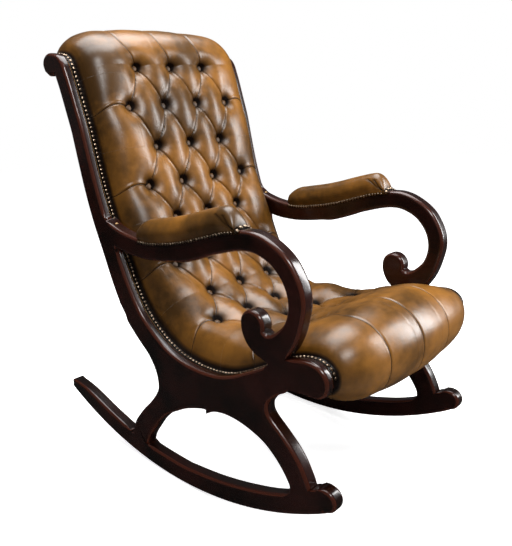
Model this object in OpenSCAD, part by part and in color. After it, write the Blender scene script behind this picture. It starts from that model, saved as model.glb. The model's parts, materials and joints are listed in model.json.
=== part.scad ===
// Rocking chair with bow runners, scroll arms and deep-buttoned leather.
// The chair faces -Y, +Z is up, and the origin is on the floor under the middle of the chair.
// Each side is a flat timber frame drawn as shares of the frame's depth and height, measured from the
// front of the runner scroll and from the floor.  The show line is the front and top edge of the stile
// and the seat rail, from the top scroll down the back, along the seat and round the front scroll.

/* [Overall size] */
// Width over the two side frames
frame_w = 560; // [500:5:640]
// Depth of the side frames, from the runner scroll to the tip of the tail
frame_d = 952; // [860:4:1040]
// Height of the side frames, from the floor to the top of the back scroll
frame_h = 992; // [900:4:1080]
// Radius of the runner's rocking edge
rocker_r = 920; // [850:10:1100]
// Angle that the chair leans forward on its runners, where it rests
lean = 2.6; // [0:0.1:4]

/* [Side frames] */
// Thickness of arms, legs and runners
side_t = 34; // [28:1:38]
// Thickness of stiles and seat rails
rail_t = 40; // [38:1:46]
// Width of the bare wood strip beside the leather
show_w = 22; // [18:1:26]
// Depth of the rebate that the leather is nailed into
rebate_d = 8; // [6:0.5:10]
// Depth of the stile from front to back below its scroll
stile_d = 45; // [40:1:48]
// Extra depth of the stile where it meets the seat rail
waist_extra = 15; // [8:1:18]
// Radius of the runner's front scroll
runner_nose_r = 26; // [22:1:28]
// Radius of the volute's eye at the end of the arm
volute_r = 31; // [26:1:33]

/* [Joinery] */
// Diameter of the dowels
dowel_dia = 9; // [7:0.5:11]
// Length of the dowels in the side frames
dowel_len = 36; // [28:2:44]
// Length of the dowels of the cross rails
rail_dowel_len = 44; // [36:2:52]
// Clearance round a dowel
dowel_fit = 0.1; // [0.05:0.05:0.2]
// Depth of the cross rails behind the webbing
cross_d = 28; // [24:1:32]
// Height of the lumbar and rear seat rails along the back
cross_h = 54; // [44:2:64]
// Leg length of the corner blocks
block_leg = 46; // [36:2:56]
// Diameter of the corner blocks' screws
screw_dia = 5; // [4:0.5:6]
// Length of the corner blocks' screws
screw_len = 38; // [30:2:44]
// Diameter of the screws' heads
screw_head_dia = 9.5; // [8:0.5:12]
// Thickness of the screws' heads
screw_head_h = 3; // [2:0.5:4]

/* [Upholstery] */
// Thickness of the webbing straps
web_t = 1.8; // [1.4:0.1:2]
// Width of the webbing straps
web_w = 50; // [40:2:60]
// Thickness of the hessian
hessian_t = 1; // [0.8:0.1:1.2]
// Thickness of the leather where it is nailed down
leather_t = 2.2; // [1.8:0.1:2.6]
// Thickness of the plywood behind the back
board_t = 5; // [3:0.5:6]
// Height of the puffs above the show line on the back
back_crown = 60; // [52:1:68]
// Height of the puffs above the show line on the seat
seat_crown = 80; // [72:1:88]
// Height of the leather above the wood on the top roll
top_roll = 58; // [50:1:64]
// Height of the leather above the wood on the front roll
front_roll = 42; // [36:1:48]
// How much further the front roll bows out at the middle of the chair
front_bow = 16; // [0:2:24]
// Depth of the tufts below the puffs
tuft_depth = 22; // [16:1:26]
// Distance between two buttons of a row
button_pitch = 105; // [98:1:108]
// Diameter of the covered buttons
button_dia = 15; // [12:1:18]
// Height of the covered buttons
button_h = 5; // [4:0.5:7]

/* [Arm pads] */
// Width of the leather pad on the arm
pad_w = 46; // [40:1:52]
// Height of the pad above its row of nails
pad_h = 56; // [48:1:62]
// How far the arm's wood reaches up inside the pad
pad_lap = 9; // [6:1:12]

/* [Nails] */
// Diameter of the nail heads
nail_dia = 7.6; // [6:0.2:9]
// Height of the nail heads
nail_h = 2.2; // [1.6:0.1:3]
// Spacing of the nails along the frames
nail_pitch = 9.6; // [9.2:0.2:14]
// Spacing of the nails round the arm pads
pad_nail_pitch = 8.6; // [8.2:0.2:12]

/* [Hidden] */
$fn = 40;

mahogany = "#2c1512";
birch = "#b9935f";
jute = "#a58a5c";
horsehair = "#4b4038";
leather = "#9c6b2f";
dark_leather = "#4a3018";
brass = "#8a6a3a";
steel = "#8e8e90";
cambric = "#1c1c1e";

half_w = frame_w / 2;
// Y of the front of the side frame while it is level, so that the leaning chair is centred on the origin
front_over = front_roll + front_bow - 0.0385 * frame_d;
frame_y = (front_over - frame_d) / 2 - 0.597 * rocker_r * sin(lean);
// The frame is drawn level, with its lowest point under this Y, and leans about the centre of the rocking edge
contact_share = 0.5550;
contact_y = frame_y + contact_share * frame_d;
module leaning() {
  translate([0, contact_y, rocker_r]) rotate([lean, 0, 0]) translate([0, -contact_y, -rocker_r]) children();
}
// Inner faces of the stiles and seat rails, and the inner edge of the bare wood strip
rail_in = half_w - rail_t;
show_in = half_w - show_w;
overrun = 2;

// A point of the side frame from its shares of the frame's depth and height
function at(p) = [frame_y + p[0] * frame_d, p[1] * frame_h];
function all_at(list) = [for (p = list) at(p)];

// The legs and the runner are drawn over an arc with these shares of the frame's depth and height as its
// half axes. They move up or down with the real rocking edge, and less and less above the first share.
drawn_arc_share = [115 / 119, 115 / 124];
settle_share = [0.21, 0.30];
function drawn_rise(u) = drawn_arc_share[1] * frame_h * (1 - sqrt(1 - pow((u - contact_share) / drawn_arc_share[0], 2)));
function real_rise(y) = rocker_r - sqrt(pow(rocker_r, 2) - pow(y - contact_y, 2));
function settled(list) = [for (p = list) let (q = at(p), k = (p[1] - settle_share[0]) / (settle_share[1] - settle_share[0]))
  q + [0, (1 - ease(k)) * (real_rise(q[0]) - drawn_rise(p[0]))]];

// One point of the smooth curve through four neighbours
function blend(a, b, c, d, t) = 0.5 * ((2 * b) + (c - a) * t + (2 * a - 5 * b + 4 * c - d) * t * t
  + (3 * b - a - 3 * c + d) * t * t * t);
// Smooth curve through a list of points, with so many steps between two of them
function smooth(p, steps = 5) = let (m = len(p) - 1)
  concat([for (i = [0:m - 1], k = [0:steps - 1])
    blend(p[max(i - 1, 0)], p[i], p[i + 1], p[min(i + 2, m)], k / steps)], [p[m]]);
function reversed(p) = [for (i = [len(p) - 1:-1:0]) p[i]];
function lengths(p) = [for (i = 0, a = 0; i < len(p);
  a = a + (i < len(p) - 1 ? norm(p[i + 1] - p[i]) : 0), i = i + 1) a];
function unit(v) = v / norm(v);
function mix(a, b, t) = a + (b - a) * t;
function clip(t) = min(1, max(0, t));
function ease(t) = let (u = clip(t)) u * u * (3 - 2 * u);

// The show line, from the back of the top scroll round the front scroll to the notch under it
show_shares = [[0.921, 0.959], [0.9275, 0.975], [0.920, 0.991], [0.903, 1], [0.880, 1],
  [0.856, 0.995], [0.839, 0.979], [0.828, 0.956], [0.818, 0.932], [0.803, 0.891], [0.785, 0.842],
  [0.769, 0.783], [0.747, 0.708], [0.723, 0.643], [0.693, 0.580], [0.650, 0.492], [0.599, 0.420],
  [0.523, 0.368], [0.452, 0.349], [0.374, 0.348], [0.305, 0.364], [0.2185, 0.410],
  [0.168, 0.4415], [0.126, 0.4617], [0.0925, 0.4698], [0.0693, 0.4698], [0.0504, 0.4627],
  [0.0378, 0.4496], [0.0336, 0.4335], [0.0378, 0.4153], [0.0515, 0.4022], [0.0714, 0.3972],
  [0.1000, 0.3966], [0.1313, 0.3962]];
show_curve = smooth(all_at(show_shares), 6);
show_marks = lengths(show_curve);
show_len = show_marks[len(show_marks) - 1];
show_y = [for (i = [0:len(show_curve) - 1]) [show_marks[i], show_curve[i][0]]];
show_z = [for (i = [0:len(show_curve) - 1]) [show_marks[i], show_curve[i][1]]];
// Point, direction and outward normal of the show line at a share of its length
function on_show(s) = let (l = clip(s) * show_len) [lookup(l, show_y), lookup(l, show_z)];
function way_show(s) = let (e = 0.003) unit(on_show(s + e) - on_show(s - e));
function normal_show(s) = let (w = way_show(s)) [w[1], -w[0]];
// The point at a height above the show line, on the side of the sitter
function off_show(s, h) = on_show(s) + h * normal_show(s);
function band_shares(from, to, n) = [for (i = [0:n]) mix(from, to, i / n)];
function band(shares, low, high) = concat([for (s = shares) off_show(s, high)],
  [for (s = reversed(shares)) off_show(s, low)]);

// Places along the show line, as shares of its length
neck_share = 0.09;
waist_share = 0.46;
arm_top_share = 0.330;
arm_low_share = 0.377;
foot_rear_share = 0.799;
foot_front_share = 0.837;
wood_steps = 300;
soft_steps = 150;
function wood_shares(from, to) = [for (i = [round(from * wood_steps):round(to * wood_steps)]) i / wood_steps];
function soft_shares(from, to) = [for (i = [round(from * soft_steps):round(to * soft_steps)]) i / soft_steps];

// Depth of the stile behind the show line
function stile_depth(s) = stile_d * (1 + 0.1 * ease((s - neck_share) / (arm_top_share - neck_share)))
  + waist_extra * pow(clip((s - neck_share) / (waist_share - neck_share)), 2);
function rear_show(s) = off_show(s, -stile_depth(s));
scroll_under_share = [0.9045, 0.9505];

// Rear edge of the seat rail and the rear leg, from the waist down to the runner
rear_shares = [[0.6820, 0.4240], [0.6620, 0.3960], [0.6240, 0.3560], [0.5870, 0.3240],
  [0.5640, 0.2900], [0.5575, 0.2570], [0.5640, 0.2330], [0.5925, 0.1955], [0.6280, 0.1590],
  [0.6520, 0.1310], [0.6700, 0.1070], [0.6900, 0.0650]];
// Underside of the seat rail, from the rear edge to the notch, where the legs stand under it
rail_under_shares = [[0.6620, 0.3960], [0.6090, 0.3640], [0.5380, 0.3240], [0.4520, 0.3050],
  [0.3760, 0.3030], [0.3050, 0.3160], [0.2260, 0.3550], [0.1765, 0.3850], [0.1313, 0.3962]];
// Arch between the legs, on the rear leg and on the front leg
rear_arch_shares = [[0.3760, 0.2510], [0.3970, 0.2470], [0.4330, 0.2340], [0.4600, 0.2220],
  [0.4874, 0.2060], [0.5250, 0.1820], [0.5588, 0.1510], [0.5880, 0.1130], [0.6130, 0.0760],
  [0.6240, 0.0400]];
front_arch_shares = [[0.3760, 0.2450], [0.3560, 0.2550], [0.3200, 0.2640], [0.2820, 0.2650],
  [0.2410, 0.2590], [0.2000, 0.2460], [0.1712, 0.2280], [0.1481, 0.2070], [0.1303, 0.1850],
  [0.1200, 0.1650], [0.1150, 0.1300]];
// Front edge of the front leg, from the notch down to the runner
notch_shares = [[0.1313, 0.3962], [0.1400, 0.3840], [0.1600, 0.3710], [0.1780, 0.3540],
  [0.1870, 0.3380], [0.1860, 0.3220], [0.1750, 0.3090], [0.1560, 0.2950], [0.1320, 0.2760],
  [0.1110, 0.2570], [0.0930, 0.2360], [0.0790, 0.2140], [0.0690, 0.1950], [0.0650, 0.1740],
  [0.0800, 0.1300]];
// Top edge of the runner, from the tail to the scroll
runner_top_shares = [[0.9790, 0.1230], [0.9600, 0.1240], [0.9170, 0.1190], [0.8820, 0.1110],
  [0.8440, 0.1000], [0.8060, 0.0890], [0.7630, 0.0785], [0.7210, 0.0690], [0.6720, 0.0600],
  [0.6240, 0.0540], [0.5670, 0.0520], [0.4850, 0.0530], [0.4460, 0.0575], [0.3720, 0.0695],
  [0.3015, 0.0855], [0.2355, 0.1050], [0.1740, 0.1270], [0.1200, 0.1530], [0.0840, 0.1760],
  [0.0620, 0.1920], [0.0450, 0.2040]];
// Top edge of the arm's wood, from the stile to the joint with the scroll
arm_top_shares = [[0.7600, 0.6560], [0.7280, 0.6410], [0.6912, 0.6280], [0.6440, 0.6180],
  [0.5900, 0.6140], [0.5460, 0.6165], [0.5095, 0.6230], [0.4570, 0.6340], [0.4065, 0.6480],
  [0.3590, 0.6640], [0.3140, 0.6785], [0.2794, 0.6860], [0.2574, 0.6890]];
arm_under_shares = [[0.7300, 0.5800], [0.6750, 0.5735], [0.6270, 0.5680], [0.5690, 0.5685],
  [0.5137, 0.5755], [0.4737, 0.5830], [0.4433, 0.5870], [0.4097, 0.5970], [0.3771, 0.6090],
  [0.3456, 0.6220], [0.3151, 0.6320], [0.2857, 0.6410], [0.2574, 0.6475]];
// Outer edge of the arm scroll, forward from the joint and down to the seat rail
scroll_outer_shares = [[0.2574, 0.6890], [0.2310, 0.6905], [0.2048, 0.6870], [0.1796, 0.6785],
  [0.1555, 0.6665], [0.1355, 0.6520], [0.1208, 0.6350], [0.1082, 0.6160], [0.0998, 0.5950],
  [0.0966, 0.5700], [0.1008, 0.5410], [0.1092, 0.5090], [0.1229, 0.4800], [0.1420, 0.4530],
  [0.1500, 0.4200]];
// Underside of the volute, from the seat rail up the back of the eye
volute_back_shares = [[0.1780, 0.4100], [0.1830, 0.4340], [0.2050, 0.4365], [0.2260, 0.4430],
  [0.2440, 0.4560], [0.2560, 0.4720], [0.2625, 0.4890], [0.2635, 0.5030]];
// Inner edge of the hook, from the front of the eye round to the joint
hook_shares = [[0.1995, 0.4970], [0.1900, 0.4930], [0.1754, 0.4985], [0.1597, 0.5120],
  [0.1471, 0.5270], [0.1397, 0.5460], [0.1376, 0.5650], [0.1397, 0.5800], [0.1460, 0.5970],
  [0.1586, 0.6150], [0.1796, 0.6330], [0.2048, 0.6440], [0.2311, 0.6490], [0.2574, 0.6475]];
volute_share = [0.2310, 0.5030];

// Outlines of the pieces of a side frame
seam_y = at(rear_arch_shares[0])[0];
joint_y = at(arm_top_shares[len(arm_top_shares) - 1])[0];
function stile_outline(inset) = concat(
  [for (s = reversed(wood_shares(0, waist_share))) off_show(s, -inset)],
  [at(scroll_under_share)], [for (s = wood_shares(neck_share, waist_share)) rear_show(s)]);
curve_steps = 5;
rear_curve = smooth(concat([rear_show(waist_share)], settled(rear_shares)), curve_steps);
// Number of points of the rear edge that belong to the seat rail
rail_rear_count = 2 * curve_steps;
rail_under = smooth(all_at(rail_under_shares), curve_steps);
function seat_rail_outline(inset) = concat(
  [for (s = wood_shares(waist_share, 1)) off_show(s, -inset * ease((1 - s) * 100))],
  reversed(rail_under), [for (i = [rail_rear_count - 1:-1:0]) rear_curve[i]]);
rear_leg_outline = concat([for (i = [rail_rear_count:len(rear_curve) - 1]) rear_curve[i]],
  reversed(smooth(settled(rear_arch_shares), curve_steps)),
  reversed([for (p = rail_under) if (p[0] > seam_y - 0.001 * frame_d) p]));
front_leg_outline = concat([for (p = rail_under) if (p[0] < seam_y + 0.001 * frame_d) p],
  smooth(settled(notch_shares), curve_steps), reversed(smooth(settled(front_arch_shares), curve_steps)));
arm_rail_outline = concat(smooth(all_at(arm_top_shares), curve_steps),
  reversed(smooth(all_at(arm_under_shares), curve_steps)));
arm_scroll_outline = concat(smooth(all_at(scroll_outer_shares), curve_steps),
  smooth(all_at(volute_back_shares), curve_steps), smooth(all_at(hook_shares), curve_steps));
// The rocking edge in short flats, one of them on the floor where the chair rests
rock_step = 1.5;
function rocker_at(a) = let (r = rocker_r / cos(rock_step / 2)) [contact_y + r * sin(a), rocker_r - r * cos(a)];
nose_a = -asin((contact_y - frame_y - runner_nose_r) / (rocker_r - runner_nose_r));
tail_a = asin((frame_y + frame_d - contact_y) / rocker_r);
nose = [contact_y + (rocker_r - runner_nose_r) * sin(nose_a),
  rocker_r - (rocker_r - runner_nose_r) * cos(nose_a)];
runner_outline = concat([for (a = [rock_step / 2 - lean - ceil(1 - nose_a / rock_step) * rock_step:rock_step:tail_a])
    if (a > nose_a) rocker_at(a)], smooth(settled(runner_top_shares), curve_steps));

// A board of the left frame from its outline, t thick with its outer face at x
module board(outline, x, t) {
  translate([x - t, 0, 0]) rotate([90, 0, 90]) linear_extrude(t) polygon(outline);
}

// A piece of the left frame, or of the right one as its mirror image
module on_side(side) {
  if (side == "left") children();
  else mirror([1, 0, 0]) children();
}

// A round pin in the plane of the left frame, centred on a point and lying along a direction
module frame_pin(place, fit) {
  translate([half_w - side_t / 2, place[0][0], place[0][1]])
    rotate([-atan2(place[1][0], place[1][1]), 0, 0])
      cylinder(h = dowel_len, d = dowel_dia + 2 * fit, center = true);
}

function under_rail(y_share) = let (y = at([y_share, 0])[0])
  [y, lookup(y, [for (p = rail_under) p])];
runner_top = smooth(settled(runner_top_shares), curve_steps);
function on_runner(y_share) = let (y = at([y_share, 0])[0])
  [y, lookup(y, [for (p = runner_top) p])];
arm_joint_share = [0.30, 0.70];
foot_joint_share = [0.22, 0.82];
scarf_joint_share = [0.30, 0.72];
rear_leg_joint_share = [0.430, 0.500, 0.565];
front_leg_joint_share = [0.345, 0.275, 0.208];
seam_joint_share = [0.2655, 0.2880];
arm_scroll_joint_share = [0.6600, 0.6770];
rear_foot_share = [0.640, 0.668];
front_foot_share = [0.078, 0.104];
runner_normal = unit([0.56, 0.83]);
frame_dowel_places = concat(
  [for (k = arm_joint_share) let (s = mix(arm_top_share, arm_low_share, k)) [on_show(s), normal_show(s)]],
  [for (k = foot_joint_share) let (s = mix(foot_rear_share, foot_front_share, k)) [on_show(s), normal_show(s)]],
  [for (k = scarf_joint_share) [off_show(waist_share, -k * stile_depth(waist_share)), way_show(waist_share)]],
  [for (k = rear_leg_joint_share) [under_rail(k), [0, 1]]],
  [for (k = front_leg_joint_share) [under_rail(k), [0, 1]]],
  [for (k = seam_joint_share) [[seam_y, at([0, k])[1]], [1, 0]]],
  [for (k = arm_scroll_joint_share) [[joint_y, at([0, k])[1]], [1, 0]]],
  [for (k = rear_foot_share) [on_runner(k), [0, 1]]],
  [for (k = front_foot_share) [on_runner(k), runner_normal]]);

module frame_dowels(fit) {
  for (place = frame_dowel_places) frame_pin(place, fit);
}

// Cross rails: where they sit along the show line, and the dowels in both their ends
lumbar_share = 0.285;
rear_seat_share = 0.533;
half_cross_share = cross_h / 2 / show_len;
cross_dowel_spread = 0.27;
crest_dowel_share = [[0.055, -0.40], [0.110, -0.48]];
front_dowel_share = [[0.892, -0.66], [0.862, -0.55]];
function cross_places(s) = [for (k = [-1, 1])
  off_show(s + k * cross_dowel_spread * cross_h / show_len, -rebate_d - cross_d / 2)];
cross_dowel_places = concat(cross_places(lumbar_share), cross_places(rear_seat_share),
  [for (k = crest_dowel_share) off_show(k[0], k[1] * stile_d)],
  [for (k = front_dowel_share) off_show(k[0], k[1] * stile_d)]);

module cross_dowels(fit) {
  for (p = cross_dowel_places, k = [-1, 1])
    translate([k * rail_in, p[0], p[1]]) rotate([0, 90, 0])
      cylinder(h = rail_dowel_len, d = dowel_dia + 2 * fit, center = true);
}

// Corner blocks in the four corners of the seat, each held by a screw into the side rail
block_h = block_leg / 2;
block_top = rebate_d + block_h / 10;
front_corner_share = 0.8475;
rear_corner_share = rear_seat_share + half_cross_share;
block_gap_share = 0.0003;
function on_step(s) = round(s * soft_steps) / soft_steps;
front_block_share = on_step(front_corner_share) - block_gap_share;
rear_block_share = on_step(rear_corner_share) + block_gap_share;
block_seat = block_leg / 5;
function block_angle(s, forward) = let (w = way_show(s)) forward ? atan2(w[1], w[0]) : atan2(-w[1], -w[0]);
module in_block(s, forward) {
  p = off_show(s, forward ? -block_top : -block_top - block_h);
  translate([rail_in, p[0], p[1]]) rotate([block_angle(s, forward), 0, 0]) children();
}
module block_screw(fit) {
  reach = 0.7 * block_leg - block_seat;
  translate([-reach, 0.3 * block_leg, block_h / 2]) rotate([0, 90, 0]) {
    cylinder(h = screw_len, d = screw_dia + 2 * fit);
    translate([0, 0, -screw_head_h]) cylinder(h = screw_head_h, d = screw_head_dia);
  }
}
module block_pocket() {
  reach = 0.7 * block_leg - block_seat;
  translate([-reach, 0.3 * block_leg, block_h / 2]) rotate([0, -90, 0])
    cylinder(h = block_leg, d = screw_head_dia + screw_dia / 5);
}
module block_screws(fit) {
  for (k = [0, 1]) mirror([k, 0, 0]) {
    in_block(front_block_share, false) block_screw(fit);
    in_block(rear_block_share, true) block_screw(fit);
  }
}

module stile(side) {
  color(mahogany) on_side(side) difference() {
    union() {
      board(stile_outline(0), half_w, show_w);
      board(stile_outline(rebate_d), show_in, rail_t - show_w);
    }
    frame_dowels(dowel_fit);
    cross_dowels(dowel_fit);
  }
}

module seat_rail(side) {
  color(mahogany) on_side(side) difference() {
    union() {
      board(seat_rail_outline(0), half_w, show_w);
      board(seat_rail_outline(rebate_d), show_in, rail_t - show_w);
    }
    frame_dowels(dowel_fit);
    cross_dowels(dowel_fit);
    block_screws(0);
  }
}

module arm_rail(side) {
  color(mahogany) on_side(side) difference() {
    board(arm_rail_outline, half_w, side_t);
    board(stile_outline(0), half_w + overrun, side_t + 2 * overrun);
    frame_dowels(dowel_fit);
  }
}

module arm_scroll(side) {
  eye = at(volute_share);
  color(mahogany) on_side(side) difference() {
    union() {
      board(arm_scroll_outline, half_w, side_t);
      translate([half_w - side_t, eye[0], eye[1]]) rotate([0, 90, 0]) cylinder(h = side_t, r = volute_r);
    }
    board(seat_rail_outline(0), half_w + overrun, side_t + 2 * overrun);
    frame_dowels(dowel_fit);
  }
}

module runner(side) {
  color(mahogany) on_side(side) difference() {
    union() {
      board(runner_outline, half_w, side_t);
      translate([half_w - side_t, nose[0], nose[1]]) rotate([0, 90, 0]) cylinder(h = side_t, r = runner_nose_r);
    }
    frame_dowels(dowel_fit);
  }
}

module leg(side, outline) {
  color(mahogany) on_side(side) difference() {
    board(outline, half_w, side_t);
    board(runner_outline, half_w + overrun, side_t + 2 * overrun);
    frame_dowels(dowel_fit);
  }
}

// A piece that runs from one side to the other, between the given half widths
module across(outline, half) {
  translate([-half, 0, 0]) rotate([90, 0, 90]) linear_extrude(2 * half) polygon(outline);
}

crest_end_share = 0.160;
crest_outline = concat([for (s = soft_shares(0.012, crest_end_share)) off_show(s, -rebate_d)],
  [for (k = [0:4]) off_show(mix(crest_end_share, 0.100, k / 4), -rebate_d - cross_d)]);
front_rail_outline = concat([for (s = soft_shares(front_corner_share, 0.965)) off_show(s, -rebate_d)],
  [off_show(front_corner_share, -rebate_d - cross_d)]);

module crest_rail() {
  color(birch) difference() {
    across(crest_outline, rail_in);
    cross_dowels(dowel_fit);
  }
}

module cross_rail(s) {
  color(birch) difference() {
    across(band(soft_shares(s - half_cross_share, s + half_cross_share), -rebate_d - cross_d, -rebate_d), rail_in);
    cross_dowels(dowel_fit);
  }
}

module front_seat_rail() {
  color(birch) difference() {
    across(front_rail_outline, rail_in);
    cross_dowels(dowel_fit);
  }
}

module corner_blocks() {
  color(birch) for (k = [0, 1]) mirror([k, 0, 0]) {
    difference() {
      in_block(front_block_share, false) linear_extrude(block_h) polygon([[0, 0], [-block_leg, 0], [0, block_leg]]);
      in_block(front_block_share, false) block_pocket();
      in_block(front_block_share, false) block_screw(0);
    }
    difference() {
      in_block(rear_block_share, true) linear_extrude(block_h) polygon([[0, 0], [-block_leg, 0], [0, block_leg]]);
      in_block(rear_block_share, true) block_pocket();
      in_block(rear_block_share, true) block_screw(0);
    }
  }
}

// Layers over the rebate: webbing, then hessian, then filling under the leather
web_low = -rebate_d;
hessian_low = web_low + web_t;
filling_low = hessian_low + hessian_t;
cloth_half = show_in - web_t / 2;
filling_half = rail_in - web_w / 4;

module straps(centres) {
  half_share = web_w / 2 / show_len;
  color(jute) for (s = centres)
    across(band(soft_shares(s - half_share, s + half_share), web_low, hessian_low), cloth_half);
}

module hessian() {
  color(jute) across(band(soft_shares(0.033, 0.96), hessian_low, filling_low), cloth_half);
}

// Rows of buttons, numbered from the top of the back: odd rows have three, even rows have four.
// Each row has its place along the show line, and the rows below 1 and above 11 are the two rolls.
cover_row_shares = [[-2.2, 0.004], [-1.8, 0.014], [-1.4, 0.026], [-1.0, 0.040], [-0.6, 0.053],
  [-0.2, 0.066], [0.2, 0.079], [0.6, 0.091], [1, 0.102], [2, 0.161], [3, 0.227], [4, 0.291],
  [5, 0.358], [6, 0.428], [7, 0.512], [8, 0.597], [9, 0.671], [10, 0.744], [11, 0.808],
  [11.5, 0.837], [12, 0.859], [12.5, 0.883], [13, 0.907], [13.5, 0.933], [14, 0.960], [14.5, 0.990]];
// Height of the puffs above the show line at each row
cover_heights = [[-2.2, 0.35 * top_roll], [-1.8, 0.5 * top_roll], [-1.4, 0.75 * top_roll],
  [-1.0, 0.92 * top_roll], [-0.6, top_roll], [-0.2, top_roll], [0.2, 0.95 * top_roll],
  [0.6, 0.9 * top_roll], [1, 0.83 * back_crown], [2, 0.95 * back_crown], [3, 0.97 * back_crown],
  [4, 1.01 * back_crown], [5, 1.05 * back_crown], [6, 1.12 * back_crown], [7, 0.975 * seat_crown],
  [8, seat_crown], [9, 0.9 * seat_crown], [10, 0.76 * seat_crown], [11, 0.66 * seat_crown],
  [11.5, 1.1 * front_roll], [12, front_roll], [12.5, front_roll], [13, front_roll],
  [13.5, 0.95 * front_roll], [14, 0.8 * front_roll], [14.5, 0.5 * front_roll]];
first_row = 1;
last_row = 11;
split_row = 6.5;
back_stations = [-2.2, -1.8, -1.4, -1, -0.6, -0.2, 0.2, 0.6, for (v = [1:0.25:split_row]) v];
seat_stations = [for (v = [split_row:0.25:last_row]) v, 11.3, 11.6, 11.9, 12.2, 12.5, 12.8, 13.1,
  13.4, 13.7, 14, 14.5];
field_x = 1.5 * button_pitch;
border_x = show_in - 15;
edge_x = cloth_half;
side_shares = [0.30, 0.58, 0.77, 0.90, 1];
half_columns = concat([for (k = [1:6]) k / 4 * button_pitch],
  [for (k = side_shares) mix(field_x, border_x, k)], [edge_x]);
columns = concat(reversed([for (x = half_columns) -x]), [0], half_columns);

// How deep the leather is drawn in, from 1 at a button through the pleats to 0 on a puff
function puff(a, b) = 1 - pow(0.55 * max(a, b) + 0.45 * min(a, b), 0.7);
function wave(a) = abs(sin(180 * a));
function tuft_at(v, x) = let (u = x / button_pitch, side = clip((abs(x) - field_x) / (border_x - field_x)))
  v < first_row ? (abs(u) > 1.5 ? 0 : puff(wave(u), wave(u)) * mix(1, 0.3, ease(2 * (first_row - v))))
  : v > last_row ? (abs(u) > 1.5 ? 0 : puff(wave(u), wave(u)) * mix(1, 0.3, ease(2 * (v - last_row))))
  : abs(x) > field_x ? puff(wave(v / 2), wave(v / 2)) * mix(1, 0.35, ease(2 * side))
  : puff(wave(u + v / 2 + 0.5), wave(u - v / 2 + 0.5));
function rise_at(x) = pow(clip((border_x - abs(x)) / (border_x - field_x)), 0.36);
function bow_at(v, x) = front_bow * ease((v - last_row) / 1.5) * ease((15 - v) / 1.5) * (1 - pow(x / border_x, 2));
// Height of the leather's lower edge above the show line, lifted where the line curls round a roll
edge_lift = [[-2.2, 1.4], [-0.2, 1.3], [1, 0.4], [11, 0.4], [12.2, 0.7], [12.8, 1.3], [13.4, 1.9], [14, 1.9],
  [14.5, 1.2]];
function cover_low(v) = filling_low + hessian_t * lookup(v, edge_lift);
function cover_height(v, x) = let (low = cover_low(v) + leather_t)
  low + rise_at(x) * (lookup(v, cover_heights) - low + bow_at(v, x) - tuft_depth * tuft_at(v, x));
// Top of the filling at each row, thin down the back and thick on the seat
filling_heights = [[-2.2, 0.04 * back_crown], [5.75, 0.04 * back_crown], [6.5, 0.36 * seat_crown],
  [7, 0.62 * seat_crown], [8, 0.65 * seat_crown], [9, 0.56 * seat_crown], [10, 0.42 * seat_crown],
  [11, 0.32 * seat_crown], [12, 0.80 * front_roll], [13.4, 0.78 * front_roll], [14.5, 0.3 * front_roll]];
// Section of the filling, from its lower edge to its flat top, as shares of its half width and its height
filling_section_share = [[1, 0], [1, 0.35], [0.96, 0.70], [0.87, 1]];
function layer_point(v, x, h) = let (p = off_show(lookup(v, cover_row_shares), h)) [x, p[0], p[1]];
function half_section(v, side, grow, low, high) =
  [for (q = filling_section_share) layer_point(v, side * (q[0] * filling_half + grow), mix(low, high, q[1]))];
function inner_height(v) = mix(cover_low(v) + hessian_t, lookup(v, filling_heights) + hessian_t / 3,
  min(ease((v + 2.2) / 0.7), ease((14.4 - v) / 0.8)));
function cover_ring(v) = let (low = cover_low(v)) concat(
  [for (x = columns) layer_point(v, x, cover_height(v, x))],
  [layer_point(v, edge_x, low)], half_section(v, 1, hessian_t / 3, low, inner_height(v)),
  reversed(half_section(v, -1, hessian_t / 3, low, inner_height(v))), [layer_point(v, -edge_x, low)]);
// End faces of a cover ring, strips between the leather and the section of the filling, and its middle
col_n = len(columns);
mid_col = (col_n - 1) / 2;
cap_strip = [[-1, 0, 1], [-1, 1, -2], [-2, 1, 2], [-2, 2, -3], [-3, 2, 3], [-3, 3, -4], [-4, 3, 4], [-4, 4, -5]];
cover_caps = concat([for (f = cap_strip) [for (j = f) col_n + j]],
  [for (f = cap_strip) reversed([for (j = f) j < 0 ? -j - 1 : col_n + 9 - j])],
  [for (j = [mid_col:col_n - 6]) [j, j + 1, col_n + 4]],
  [for (j = [4:mid_col - 1]) [j, j + 1, col_n + 5]], [[mid_col, col_n + 4, col_n + 5]]);
filling_caps = [[for (j = [0:2 * len(filling_section_share) - 1]) j]];

// A closed skin through rings of points, all with the same number of points
module skin(rings, caps) {
  n = len(rings[0]);
  m = len(rings);
  polyhedron(points = [for (r = rings, p = r) p], faces = concat(
    [for (i = [0:m - 2], j = [0:n - 1]) [i * n + j, i * n + (j + 1) % n, (i + 1) * n + j]],
    [for (i = [0:m - 2], j = [0:n - 1]) [i * n + (j + 1) % n, (i + 1) * n + (j + 1) % n, (i + 1) * n + j]],
    [for (f = caps) reversed(f)], [for (f = caps) [for (j = f) (m - 1) * n + j]]), convexity = 10);
}

module cover(stations) {
  color(leather) skin([for (v = stations) cover_ring(v)], cover_caps);
}
// Filling between the hessian and the cover, for the stations from one row to another
module filling(stations, from, to) {
  color(horsehair) skin([for (v = stations) if (v >= from && v <= to)
    concat(half_section(v, 1, 0, cover_low(v), lookup(v, filling_heights)),
    reversed(half_section(v, -1, 0, cover_low(v), lookup(v, filling_heights))))], filling_caps);
}

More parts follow.
